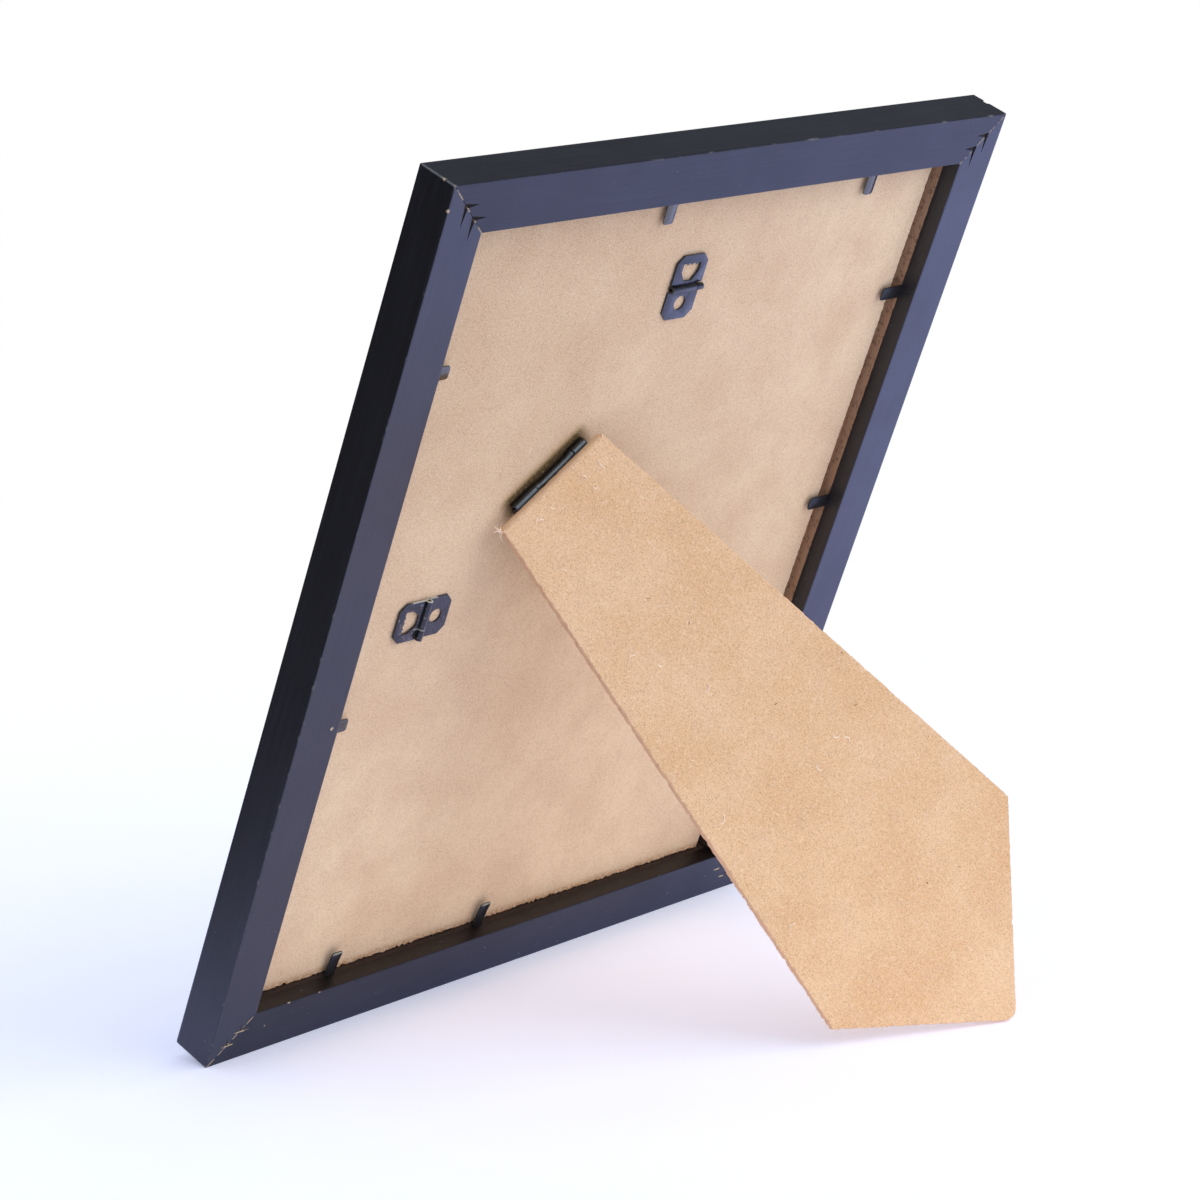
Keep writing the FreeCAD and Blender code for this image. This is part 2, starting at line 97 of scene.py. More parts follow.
# Chips and scratches in the foil: place across, behind and up the frame, and half its size each way
FOIL_CHIPS = (
    ((119.5, -4.4, 288.0), (0.7, 0.7, 0.7)), ((119.4, -0.1, 280.6), (0.55, 0.6, 0.55)),
    ((106.9, 0.0, 116.8), (0.6, 0.6, 0.7)), ((-106.7, 0.0, 9.5), (1.6, 0.6, 0.35)),
    ((-110.4, 0.0, 5.6), (1.4, 0.6, 0.3)), ((108.6, 0.0, 10.2), (2.6, 0.6, 0.26)),
    ((112.6, 0.0, 6.2), (2.4, 0.6, 0.26)), ((91.0, 0.0, 15.4), (0.6, 0.5, 0.35)),
    ((78.5, 0.0, 15.4), (0.5, 0.5, 0.3)), ((99.0, 0.0, 9.2), (0.15, 0.6, 0.4)))

# The strut's largest loose fibres: place, turn in degrees, length and bend
STRUT_FIBRES = (
    ((7.0, 14.1), 0, 3.8, 0.5), ((6.1, 8.4), 20, 2.6, -2.4), ((10.9, 8.4), 60, 1.6, 1.0),
    ((6.3, -5.2), 30, 1.6, 0.8), ((5.4, -10.8), 70, 2.4, -2.2), ((6.2, -9.9), 10, 2.0, 1.6),
    ((116.2, 14.4), 62, 3.2, 1.5), ((118.4, 16.9), 26, 3.6, -1.7), ((77.5, -5.4), 111, 3.9, 1.2),
    ((53.6, -16.3), 81, 3.4, -1.8), ((118.3, 3.7), -12, 3.4, 1.0), ((108.8, -27.7), 120, 4.4, 1.4),
    ((146.4, -33.6), 95, 3.4, -0.9), ((61.8, -12.0), 15, 1.8, 1.0))
# The strut's largest bark specks
STRUT_BARK = ((45.2, -1.3), (59.1, 3.2), (98.9, 32.5), (113.3, 25.3), (172.3, 16.9), (106.9, 15.0),
              (95.3, 7.0), (168.3, 6.1))

# A tab's round tip, softened edges, and the lift of the bottom ones' tips
TAB_TIP = 0.9
TAB_SOFT = 0.1
TAB_LIFT = 1.0

# The side hanger in the frame: its middle across, its upper edge and its knuckle's seam in height
SIDE_HANGER_MIDDLE = 75.6
SIDE_HANGER_TOP = 149.3
SIDE_HANGER_SEAM = 139.95

# The picture sheet's sides, ends and faces, a hair off the glass and the board that it touches
SHEET_SIDE = 101.5
SHEET_ENDS = (15.6, 269.4)
SHEET_FACES = (-9.51, -9.34)

TAB_NAMES = ["tab_%s_%d" % (rail, n) for rail in ("top", "bottom", "left", "right") for n in (1, 2)]

JOINTS = {joint["name"]: joint for joint in frame["joints"]}
MOUNTS = {mount["name"]: mount for mount in frame["record"]["mounts"]}


def axes_matrix(x_axis, y_axis, z_axis, origin):
    """The matrix that carries a piece's own axes to the row frame."""
    turn = Matrix((x_axis, y_axis, z_axis)).transposed().to_4x4()
    return Matrix.Translation(origin) @ turn


# Up the leaning frame, and out of its back
UP = Vector(JOINTS["side_hanger_flip"]["axis"])
OUT = Vector((0.0, UP.z, -UP.y))
FRAME_FOOT = Vector(MOUNTS["back_face"]["pos_m"]) - UP * (FRAME_HIGH - RAIL_BACK / 2) * MM
FRAME_TO_ROW = axes_matrix(Vector((1, 0, 0)), OUT, UP, FRAME_FOOT)

PIN = Vector(JOINTS["strut_fold"]["axis"])
OPENING = Matrix.Rotation(-STRUT_OPEN, 3, PIN)
STRUT_TO_ROW = axes_matrix(
    OPENING @ PIN.cross(OUT), PIN, OPENING @ OUT,
    Vector(JOINTS["strut_fold"]["pos_m"]) - PIN * HINGE_SHIFT * MM)
# Across the hinge's barrel, along its pin and out of the board, from the barrel's middle
HINGE_TO_ROW = axes_matrix(PIN.cross(OUT), PIN, OUT, Vector(JOINTS["strut_fold"]["pos_m"]))

# What the pieces of the board and of the strut share: their axes, body and slot
BOARD_GROUND = (FRAME_TO_ROW, "frame", "hardboard")
STRUT_GROUND = (STRUT_TO_ROW, "strut", "strut_fibreboard")


def linear(code):
    """The linear colour of an sRGB hex code."""
    shares = [int(code[i:i + 2], 16) / 255 for i in (1, 3, 5)]
    return tuple(s / 12.92 if s <= 0.04045 else ((s + 0.055) / 1.055) ** 2.4 for s in shares)


def colour(name, code, words):
    """A colour setting, given as an sRGB hex code."""
    return bpy.props.FloatVectorProperty(
        name=name, description=words, subtype="COLOR", size=3, min=0, max=1, default=linear(code))


def length(name, size, words):
    """A length setting, given in millimetres."""
    return bpy.props.FloatProperty(
        name=name, description=words, unit="LENGTH", min=0, precision=5, default=size * MM)


def share(name, size, words):
    """A share between nothing and all."""
    return bpy.props.FloatProperty(
        name=name, description=words, subtype="FACTOR", min=0, max=1, default=size)


class MouldingSettings(bpy.types.PropertyGroup):
    foil: colour("Foil", "#141416", "Body colour of the black foil")
    foil_light: colour("Foil grain", "#222226", "The paler streaks of the printed grain")
    worn: colour("Worn foil", "#82827F", "Foil rubbed thin along the arrises")
    raw: colour("Raw fibreboard", "#AC9A80", "Bare moulding where the foil is torn")
    wall: colour("Rebate wall", "#AA7A55", "Bare wood below the paint in the rebate")
    # Painted shade inside the nail slots and seams and over the bottom wall; also the darker patches of the bare
    # wood
    wall_shade_and_stain: colour("Stained wall", "#140C08", "Thin stain on the bottom wall")
    dust: colour("Dust", "#A9A9B4", "Pale dust on the foil")
    grain: length("Grain width", 0.55, "Width of one streak of the foil's grain")
    seam: length("Seam", 0.12, "Depth of the open seam at each mitre")
    gouge: length("Nail gouge", 1.1, "Width of a nail's slot at the mitre")
    roughness: share("Roughness", 0.36, "Gloss of the foil, lower is glossier")


class BoardSettings(bpy.types.PropertyGroup):
    pale: colour("Pale", "#D9C09F", "The pale clouds of the hardboard's back")
    deep: colour("Deep", "#CAAB8B", "The deeper clouds of the hardboard's back")
    speck: colour("Speck", "#6A4636", "Bark specks pressed into the board")
    fibre: colour("Fibre", "#EFDCC8", "Pale fibres pressed into the face")
    loose: colour("Loose fibre", "#F6E8D8", "Pale fibres that lie loose on the face")
    cut: colour("Cut edge", "#8E6A4E", "The sawn edge of the board")
    # Painted shade: the board's upper left corner is darkened where the light falls off
    shade_and_tone: colour("Aged", "#A37F58", "The board's browner upper corner")
    # Painted shade: a dark olive band along the hinge barrel, its dark core and its paler fringe
    barrel_shade: colour("Grease", "#2E1F04", "Oil that has crept out under the hinge")
    oiled: colour("Oiled board", "#A8863F", "The board where the oil has thinned out")
    frayed: colour("Frayed edge", "#A5703A", "Torn fibres along the board's bottom edge")
    ragged: length("Ragged", 0.5, "How far the sawn edge is torn back")
    blotched: share("Blotched", 0.07, "How dark the centimetre wide blotches are")
    pitted: share("Pitted", 0.2, "How dark the fine pits between the fibres are")
    fibres: bpy.props.IntProperty(name="Fibres", description="Loose fibres on the board", default=46, min=0)


class StrutSettings(bpy.types.PropertyGroup):
    pale: colour("Pale", "#E6C097", "The pale clouds of the strut's face")
    deep: colour("Deep", "#D9AD7E", "The deeper clouds of the strut's face")
    speck: colour("Speck", "#6E4A30", "Bark specks pressed into the strut")
    fibre: colour("Fibre", "#F4DAB8", "Pale fibres pressed into the face")
    loose: colour("Loose fibre", "#FFF0DC", "Pale fibres that lie loose on the face")
    cut: colour("Cut edge", "#C9A186", "The sawn edge of the strut")
    shade_and_tone: colour("Aged", "#C79F76", "The yellower tone of the strut's upper end")
    ragged: length("Ragged", 0.32, "How far the sawn edge wanders")
    blotched: share("Blotched", 0.22, "How dark the centimetre wide blotches are")
    pitted: share("Pitted", 0.3, "How dark the fine pits between the fibres are")
    fibres: bpy.props.IntProperty(name="Fibres", description="Loose fibres on the strut", default=70, min=0)


class HardwareSettings(bpy.types.PropertyGroup):
    lacquer: colour("Lacquer", "#0B0D12", "Black lacquer of the hangers and the hinge")
    # Painted light: the tabs are one steel, given a brighter blued tone for the top and left tabs and a near black
    # shaded copy for the bottom and right ones
    spring: colour("Spring steel", "#5F5C53", "Blued steel of the tabs")
    shaded_tabs: colour("Blackened steel", "#08090F", "Black oxide of the tabs that the blueing left dull")
    # Also the painted highlight on the bottom tabs' tips
    bare: colour("Bare steel", "#B9B7A6", "Steel where the lacquer has rubbed off")
    edge: length("Edge rounding", 0.09, "Rounding of the stamped edges")
    tab_gauge: length("Tab gauge", 0.45, "Thickness of a tab")
    tab_width: length("Tab width", 4.3, "Width of a tab")
    tab_reach: length("Tab reach", 8.425, "From the bending line to a tab's tip")


class PaneSettings(bpy.types.PropertyGroup):
    paper: colour("Paper", "#ECE8E0", "Plain print paper")
    line: colour("Keyline", "#9A968E", "The thin border printed on the paper")
    inset: length("Keyline inset", 14.0, "From the paper's edge to the border")
    glass: colour("Glass", "#FAFCFB", "Clear float glass")


class StageSettings(bpy.types.PropertyGroup):
    floor: colour("Floor", "#F0EFF8", "Pale studio floor")
    sky: colour("Fill", "#D7DDF1", "Cool fill from the studio's walls")
    # Painted reflection: the floor shows this dark and the blue below only to glossy rays, for the foil to mirror
    room: colour("Room", "#474442", "The dark room past the edge of the studio paper")
    sheen: colour("Sheen", "#8F9DFA", "The blue brightness that the foil mirrors from the floor")
    haze: colour("Haze", "#DBE6FF", "Cool light scattered over the floor's shadow")
    lift: share("Lift", 0.29, "How much whiter than lit the camera sees the floor")
    key: bpy.props.FloatProperty(name="Key", description="Power of the large soft key light",
                                 unit="POWER", min=0, default=31.5)
    bounce: share("Bounce", 0.5, "Light that the paper near the object throws up under the strut")
    lens: bpy.props.FloatProperty(name="Lens", description="Focal length on a 36 mm square frame",
                                  unit="CAMERA", min=1, default=111.405)


class FrameSettings(bpy.types.PropertyGroup):
    moulding: bpy.props.PointerProperty(type=MouldingSettings)
    board: bpy.props.PointerProperty(type=BoardSettings)
    strut: bpy.props.PointerProperty(type=StrutSettings)
    hardware: bpy.props.PointerProperty(type=HardwareSettings)
    pane: bpy.props.PointerProperty(type=PaneSettings)
    stage: bpy.props.PointerProperty(type=StageSettings)


# Materials


# A range that eases in and out
SOFT = {"interpolation_type": "SMOOTHSTEP"}
SHADER = "Principled BSDF"


def add(kind, *inputs, tree=None, out=0, **settings):
    """Adds one shader node with its settings, sets or links its inputs, and gives one output.

    Inputs are values or other nodes' outputs, in the order of the sockets, or one dictionary of
    them by name. The node goes to the tree of the first output linked to it, if none is given.
    Where out is None, it gives every output.
    """
    named = bool(inputs) and isinstance(inputs[0], dict)
    values = inputs[0] if named else dict(enumerate(inputs))
    linked = [value for value in values.values() if isinstance(value, bpy.types.NodeSocket)]
    tree = tree or linked[0].id_data
    node = tree.nodes.new("ShaderNode" + kind)
    for name, value in settings.items():
        setattr(node, name, value)
    for key, value in values.items():
        socket = node.inputs[key]
        if isinstance(value, bpy.types.NodeSocket):
            tree.links.new(value, socket)
        elif socket.type == "RGBA":
            socket.default_value = (*value, 1)
        else:
            socket.default_value = value
    return node.outputs if out is None else node.outputs[out] if node.outputs else node


def new_material(name, constants):
    """A material and its nodes, whose plain values are set on the shader itself."""
    material = bpy.data.materials.new(name)
    material.use_nodes = True
    for key, value in constants.items():
        material.node_tree.nodes[SHADER].inputs[key].default_value = value
    return material, material.node_tree


def finished_material(material, tint, gloss=None, height=None, deep=0.0):
    """Gives the shader a colour, a roughness and a relief of real depth in millimetres."""
    tree = material.node_tree
    shader = tree.nodes[SHADER]
    tree.links.new(tint, shader.inputs["Base Color"])
    if gloss:
        tree.links.new(gloss, shader.inputs["Roughness"])
    if height:
        relief = add("Bump", {"Height": height, "Distance": deep * MM, "Strength": 1.0})
        tree.links.new(relief, shader.inputs["Normal"])
    return material


def own_mm(tree, to_row):
    """Object coordinates turned to a piece's own axes, in millimetres."""
    back = to_row.inverted()
    place = add("TexCoord", out="Object", tree=tree)
    return add("Mapping", {
        "Vector": place, "Location": back.translation / MM,
        "Rotation": back.to_euler("XYZ"), "Scale": (1 / MM,) * 3})


def drawn_out(place, sizes, turn=0.0, axis=(0, 1, 0)):
    """Coordinates turned, and divided by a pattern's size along each axis, so that it is drawn out."""
    turned = add("VectorRotate", {
        "Vector": place, "Axis": axis, "Angle": math.radians(turn)}, rotation_type="AXIS_ANGLE")
    return add("VectorMath", turned, tuple(1 / size for size in sizes), operation="MULTIPLY")


def patches(place, size, low, high, detail=3.0):
    """A soft mask of random patches about size millimetres wide."""
    cloud = add("TexNoise", {"Vector": place, "Scale": 1 / size, "Detail": detail, "Roughness": 0.55})
    return add("MapRange", cloud, low, high, **SOFT)


def specks(place, pitch, size, kept):
    """Round specks of size millimetres, pitch apart, of which a share is kept."""
    net = add("TexVoronoi", {"Vector": place, "Scale": 1 / pitch}, out=None)
    inside = add("MapRange", net["Distance"], size / pitch, size / pitch * 0.45)
    chance = add("SeparateColor", net["Color"])
    chosen = add("Math", chance, kept, operation="LESS_THAN")
    return add("Math", inside, chosen, operation="MULTIPLY")


def layered(under, *coats):
    """Colours laid over one another, each with its mask and the mask's strength."""
    for mask, strength, tint in coats:
        strong = add("Math", mask, strength, operation="MULTIPLY")
        under = add("Mix", {0: strong, 6: under, 7: tint}, out=2, data_type="RGBA")
    return under


def off(value, middle):
    """How far a value is from its middle."""
    return add("Math", add("Math", value, middle, operation="SUBTRACT"), operation="ABSOLUTE")


def facing(place, way, *ends):
    """A soft range of how far a place lies in one direction."""
    along = add("VectorMath", place, way, out=1, operation="DOT_PRODUCT")
    return add("MapRange", along, *ends, **SOFT)


def all_of(*masks):
    """Where every mask is."""
    whole = masks[0]
    for mask in masks[1:]:
        whole = add("Math", whole, mask, operation="MULTIPLY")
    return whole


def frame_places(place):
    """Inwards from the frame's sides and from its ends, out of its back, and up the frame."""
    across, depth, height = add("SeparateXYZ", place, out=None)
    side = add("Math", across, operation="ABSOLUTE")
    from_side = add("Math", FRAME_WIDE / 2, side, operation="SUBTRACT")
    end = off(height, FRAME_HIGH / 2)
    from_end = add("Math", FRAME_HIGH / 2, end, operation="SUBTRACT")
    return from_side, from_end, depth, height


def rubbed_foil(place, from_side, from_end, inward, off_back):
    """Where the foil is rubbed thin: in patches along its arrises, and at the frame's corners."""
    off_arris = add("Math", inward, off_back, operation="ADD")
    arris = add("MapRange", off_arris, 0.75, 0.25, **SOFT)
    arris = all_of(arris, patches(place, 5.0, 0.55, 0.7))
    off_corner = add("Math", from_side, from_end, operation="ADD")
    corner = add("MapRange", off_corner, 0.55, 0.35, **SOFT)
    blob = add("MapRange", add("Math", off_corner, off_back, operation="ADD"), 1.3, 0.7)
    corner = add("Math", corner, blob, operation="MAXIMUM")
    corner = all_of(corner, patches(place, 1.4, 0.2, 0.5))
    return arris, corner


def chipped_foil(place, inward, off_mitre, off_back):
    """Where the foil is gone: in crumbs along the mitres, and in the chips and scratches."""
    near_mitre = add("MapRange", off_mitre, 0.34, 0.12, **SOFT)
    at_back = add("Math", off_back, 0.6, operation="LESS_THAN")
    on_back = add("Math", inward, RAIL_BACK, operation="LESS_THAN")
    chipped = all_of(near_mitre, at_back, on_back, patches(place, 2.2, 0.45, 0.54))

    wander = add("MapRange", patches(place, 0.7, 0.2, 0.8), 0.0, 1.0, 0.5, 1.3)
    for spot, sizes in FOIL_CHIPS:
        away = add("VectorMath", place, spot, operation="SUBTRACT")
        share_out = add("VectorMath", away, tuple(1 / size for size in sizes), operation="MULTIPLY")
        gap = add("VectorMath", share_out, out=1, operation="LENGTH")
        chip = add("Math", gap, wander, operation="LESS_THAN")
        chipped = add("Math", chipped, chip, operation="MAXIMUM")
    return chipped


def black_foil(look, name, grain_sizes, index):
    """Black wood-grain foil, melamine coated paper wrapped round fibreboard moulding.

    To the eye: almost black with a cool satin sheen at a slant, faint streaks along the rail,
    pale dust, grey where it is rubbed, and bare tan board where a mitre or a nail tore it.
    """
    material, tree = new_material(name, {"IOR": index, "Specular Tint": (0.84, 0.87, 1.0, 1.0)})
    place = own_mm(tree, FRAME_TO_ROW)
    from_side, from_end, depth, height = frame_places(place)
    inward = add("Math", from_side, from_end, operation="MINIMUM")
    off_mitre = off(from_side, from_end)
    off_back = add("Math", depth, operation="ABSOLUTE")

    streaks = add("TexNoise", {
        "Vector": drawn_out(place, grain_sizes), "Scale": 1.0, "Detail": 4.0, "Roughness": 0.6})
    grain = add("MapRange", streaks, 0.42, 0.72, **SOFT)
    dusty = specks(place, 4.2, 0.16, 0.35)

    arris, corner = rubbed_foil(place, from_side, from_end, inward, off_back)
    chipped = chipped_foil(place, inward, off_mitre, off_back)
    # Painted shade: the insides of the nail slots and the mitre seams, painted near black
    below_back = add("Math", depth, -0.16, operation="LESS_THAN")
    above_floor = add("Math", depth, -1.6, operation="GREATER_THAN")
    inside = add("Math", inward, 0.5, operation="GREATER_THAN")
    before_wall = add("Math", inward, RAIL_BACK - 0.4, operation="LESS_THAN")
    torn = all_of(below_back, above_floor, inside, before_wall)

    in_rebate = add("Math", inward, RAIL_BACK - 0.12, operation="GREATER_THAN")
    behind_lip = add("Math", depth, REBATE_FLOOR - 0.1, operation="GREATER_THAN")
    ragged = add("MapRange", patches(place, 1.6, 0.3, 0.7), 0.0, 1.0, -0.06, 0.06)
    brushed_to = add("Math", depth, ragged, operation="ADD")
    missed = add("Math", brushed_to, PAINT_END, operation="LESS_THAN")
    bare = all_of(missed, in_rebate, behind_lip)
    # Painted shade: the rebate walls up to 20.5 mm from the bottom, bare wood included, painted near black
    low_down = add("Math", height, RAIL_FULL, operation="LESS_THAN")
    bottom_wall_shade = all_of(in_rebate, low_down, behind_lip)
    near_foot = add("MapRange", height, 60.0, RAIL_FULL, 0.12, 1.0)
    flecks = all_of(specks(place, 2.6, 0.24, 0.2), near_foot, patches(place, 9.0, 0.35, 0.5))
    veins = patches(drawn_out(place, grain_sizes), 1.0, 0.3, 0.75)
    tint = layered(
        look.foil, (grain, 0.7, look.foil_light), (dusty, 0.55, look.dust),
        (arris, 0.4, look.worn), (corner, 0.5, look.worn), (torn, 0.9, look.wall_shade_and_stain),
        (all_of(torn, veins), 0.12, look.raw), (chipped, 1.0, look.raw),
        (bare, 1.0, look.wall), (all_of(bare, veins), 0.6, look.raw),
        (all_of(bare, patches(place, 1.5, 0.5, 0.7)), 0.5, look.wall_shade_and_stain),
        (bottom_wall_shade, 0.93, look.wall_shade_and_stain), (flecks, 0.75, look.dust))

    rough_masks = arris
    for mask in (corner, torn, chipped, bare):
        rough_masks = add("Math", rough_masks, mask, operation="MAXIMUM")
    smudge = add("MapRange", patches(place, 26.0, 0.3, 0.7), 0.0, 1.0,
                 look.roughness, look.roughness + 0.08)
    matt = add("MapRange", rough_masks, 0.0, 1.0, 0.0, 0.4)
    gloss = add("Math", smudge, matt, operation="ADD")
    skin = add("TexNoise", {"Vector": place, "Scale": 1 / 0.7, "Detail": 2.0})
    relief = add("Math", streaks, skin, operation="ADD")
    return finished_material(material, tint, gloss, relief, 0.012)


def barrel_shade_band(tree):
    """Painted shade along the hinge's barrel: a wide paler fringe and a dark core next to it."""
    place = own_mm(tree, HINGE_TO_ROW)
    aside, along, _ = add("SeparateXYZ", place, out=None)
    off_barrel = add("Math", aside, operation="ABSOLUTE")
    off_middle = add("Math", along, operation="ABSOLUTE")
    near = add("MapRange", off_barrel, 7.0, 2.6, **SOFT)
    beside = add("MapRange", off_middle, 19.0, 13.5, **SOFT)
    fringe = all_of(near, beside, patches(place, 0.9, 0.1, 0.5))
    return fringe, all_of(fringe, near, near, near)


def pressed_fibreboard(look, name, to_row, thin_axis, extents, shade_and_tone_at, shade_and_tone_strength):
    """Raw fibreboard, wood fibre steamed and hot pressed between polished plates, then sawn.

    To the eye: a dry matt tan, clouds a few centimetres wide, felted short fibres in every
    direction, sparse bark specks, and a darker fuzzy band where it was sawn. It is darker
    round the point it is given: painted shade on the board, a tone on the strut. Extents
    are its two faces along its thin axis.
    """
    material, tree = new_material(name, {"IOR": 1.45, "Roughness": 0.82, "Specular IOR Level": 0.25})
    place = own_mm(tree, to_row)
    clouds = patches(place, 24.0, 0.3, 0.7, 4.0)
    mottle = patches(place, 3.2, 0.28, 0.72, 4.0)
    blotches = patches(drawn_out(place, (1.0,) * 3, 40.0), 8.0, 0.5, 0.72, 5.0)
    # Fibre bundles are 0.1 mm wide; they are drawn 0.3 mm wide so that they show
    grit = patches(place, 0.4, 0.38, 0.62, 2.0)
    pits = patches(drawn_out(place, (1.0,) * 3), 0.5, 0.5, 0.68, 2.0)
    across = tuple(float(i == thin_axis) for i in range(3))
    felt = None
    for turn in (12.0, 74.0, 131.0):
        sizes = [1.6, 1.6, 0.26]
        sizes[thin_axis] = 1.0
        strand = patches(drawn_out(place, sizes, turn, across), 1.0, 0.61, 0.7, 1.5)
        felt = add("Math", felt, strand, operation="MAXIMUM") if felt else strand
    dots = specks(place, 7.5, 0.26, 0.32)
    fine_dots = specks(place, 2.3, 0.13, 0.25)

    parts = add("SeparateXYZ", place, out=None)
    reach = (extents[1] - extents[0]) / 2
    off_middle = off(parts[thin_axis], sum(extents) / 2)
    sawn = add("MapRange", off_middle, reach - 0.02, reach - 0.22, **SOFT)
    sizes = [3.0, 3.0, 3.0]
    sizes[thin_axis] = 0.6
    layers = patches(drawn_out(place, sizes), 1.0, 0.3, 0.7)
    # Darker round the given point: painted shade on the board, a tone on the strut
    gone = add("VectorMath", place, shade_and_tone_at, out=1, operation="DISTANCE")
    shade_and_tone = add("MapRange", gone, 200.0, 30.0, **SOFT)
    coats = [
        (clouds, 1.0, look.pale), (mottle, 0.3, look.deep),
        (blotches, look.blotched, look.cut), (shade_and_tone, shade_and_tone_strength, look.shade_and_tone),
        (grit, 0.3, look.fibre), (pits, look.pitted, look.speck),
        (felt, 0.22, look.fibre), (fine_dots, 0.35, look.speck), (dots, 0.6, look.speck)]
    if thin_axis == 2:
        # Painted light: the strut's end at the hinge gets no cut colour and a paler fibre tone, lifting the shade
        # it stands in by the barrel
        past_lightened_end = add("Math", parts[0], STRUT_LIGHTENED_END, operation="GREATER_THAN")
        coats.append((add("Math", 1.0, past_lightened_end, operation="SUBTRACT"), 0.4, look.fibre))
        sawn = all_of(sawn, past_lightened_end)
    coats += [(sawn, 1.0, look.cut), (all_of(sawn, layers), 0.35, look.pale)]
    if thin_axis == 1:
        # Only the board carries the painted shade along the hinge barrel, and frays where it stands on the bottom
        # rail
        fringe, core = barrel_shade_band(tree)
        low_edge = add("MapRange", parts[2], RAIL_BACK + 3.4, RAIL_BACK + 1.2)
        frayed = all_of(low_edge, patches(place, 1.1, 0.3, 0.6))
        coats += [(fringe, 0.57, look.oiled), (core, 0.836, look.barrel_shade),
                  (frayed, 0.684, look.frayed)]
    tint = layered(look.deep, *coats)
    height = add("Math", grit, felt, operation="ADD")
    return finished_material(material, tint, None, height, 0.03)


def loose_fibre(look, name, to_row):
    """Single wood fibres lifted from a raw board; dry, pale and matt."""
    material, tree = new_material(name, {"Roughness": 0.9, "IOR": 1.45})
    tone = patches(own_mm(tree, to_row), 0.5, 0.3, 0.7)
    return finished_material(material, layered(look.loose, (tone, 0.35, look.pale)))


def black_lacquered_steel(look, name, bare_share, cast):
    """Mild steel strip, stamped, rolled and dipped in black lacquer.

    To the eye: glossy black with soft ripples from the dip, and bare grey metal on rubbed edges
    and on the side hanger's upper edge, where it has hung.
    """
    material, tree = new_material(name, {"IOR": 1.62, "Specular Tint": (*cast, 1.0)})
    place = own_mm(tree, FRAME_TO_ROW)
    rubbed = patches(place, 0.9, 0.62, 0.72)
    across, _, height = add("SeparateXYZ", place, out=None)
    beside = off(across, SIDE_HANGER_MIDDLE)
    on_edge = add("Math", height, SIDE_HANGER_TOP, operation="GREATER_THAN")
    scraped = all_of(on_edge, add("MapRange", beside, 5.6, 4.8), patches(place, 1.2, 0.3, 0.45))
    at_seam = add("Math", off(height, SIDE_HANGER_SEAM), 0.12, operation="LESS_THAN")
    on_knuckle = add("Math", beside, 1.75, operation="LESS_THAN")
    tint = layered(look.lacquer, (rubbed, bare_share, look.bare),
                   (scraped, 0.9, look.bare), (all_of(at_seam, on_knuckle), 0.7, look.bare))
    ripple = add("TexNoise", {"Vector": place, "Scale": 1 / 1.8, "Detail": 1.0})
    gloss = add("MapRange", ripple, 0.3, 0.7, 0.24, 0.34)
    return finished_material(material, tint, gloss, ripple, 0.008)


def spring_steel(name, constants, tone, bare, scratched, low, high, worn=None):
    """Hardened strip, sheared; a satin finish, low to high in roughness, scratched along the strip.

    A painted highlight in the bare colour lies between two heights, where the tips stand highest.
    """
    material, tree = new_material(name, constants)
    place = own_mm(tree, FRAME_TO_ROW)
    scratches = patches(drawn_out(place, (0.2, 2.5, 2.5), 8.0), 1.0, 0.35, 0.7)
    coats = [(scratches, scratched, bare)]
    if worn:
        # Painted highlight in the bare colour where the tips stand highest
        _, depth, _ = add("SeparateXYZ", place, out=None)
        coats.append((add("MapRange", depth, *worn), 0.5, bare))
    gloss = add("MapRange", scratches, 0.0, 1.0, low, high)
    return finished_material(material, layered(tone, *coats), gloss, scratches, 0.008)


def lit_tabs_spring_steel(look):
    """The tabs' spring steel, the lit copy for the top and left tabs: blue-black metal, brighter than the shaded
    copy.
    """
    return spring_steel("lit_tabs_spring_steel", {"Metallic": 1.0}, look.spring, look.bare, 0.04, 0.2, 0.32)


def shaded_tabs_spring_steel(look):
    """The tabs' spring steel, the shaded copy for the bottom and right tabs: near black, with a painted highlight
    where the bottom tips lift.
    """
    return spring_steel("shaded_tabs_spring_steel", {"IOR": 1.38}, look.shaded_tabs, look.bare,
                        0.05, 0.3, 0.42, (-4.27, -4.22))


def rolled_nail_steel(look):
    """Rolled steel strip, cropped; grey metal gone dull."""
    material, tree = new_material("rolled_nail_steel", {"Metallic": 1.0})
    dull = patches(own_mm(tree, FRAME_TO_ROW), 0.6, 0.3, 0.7)
    gloss = add("MapRange", dull, 0.0, 1.0, 0.35, 0.65)
    return finished_material(material, layered(look.bare, (dull, 1.0, look.spring)), gloss)


def float_glass(look):
    """Clear soda-lime float glass, drawn on tin; a faint film of dust."""
    material, tree = new_material("float_glass", {
        "IOR": 1.52, "Transmission Weight": 1.0, "Base Color": (*look.glass, 1)})
    shader = tree.nodes[SHADER]
    film = patches(own_mm(tree, FRAME_TO_ROW), 40.0, 0.35, 0.7)
    tree.links.new(add("MapRange", film, 0.0, 1.0, 0.0, 0.03), shader.inputs["Roughness"])
    # Light passes to the picture; the shader alone would throw the pane's full shadow
    shadow = add("LightPath", out="Is Shadow Ray", tree=tree)
    scattered = add("LightPath", out="Is Diffuse Ray", tree=tree)
    passing = add("Math", shadow, scattered, operation="MAXIMUM")
    clear = add("BsdfTransparent", look.glass, tree=tree)
    pane = add("MixShader", passing, shader.outputs[0], clear)
    tree.links.new(pane, tree.nodes["Material Output"].inputs["Surface"])
    return material


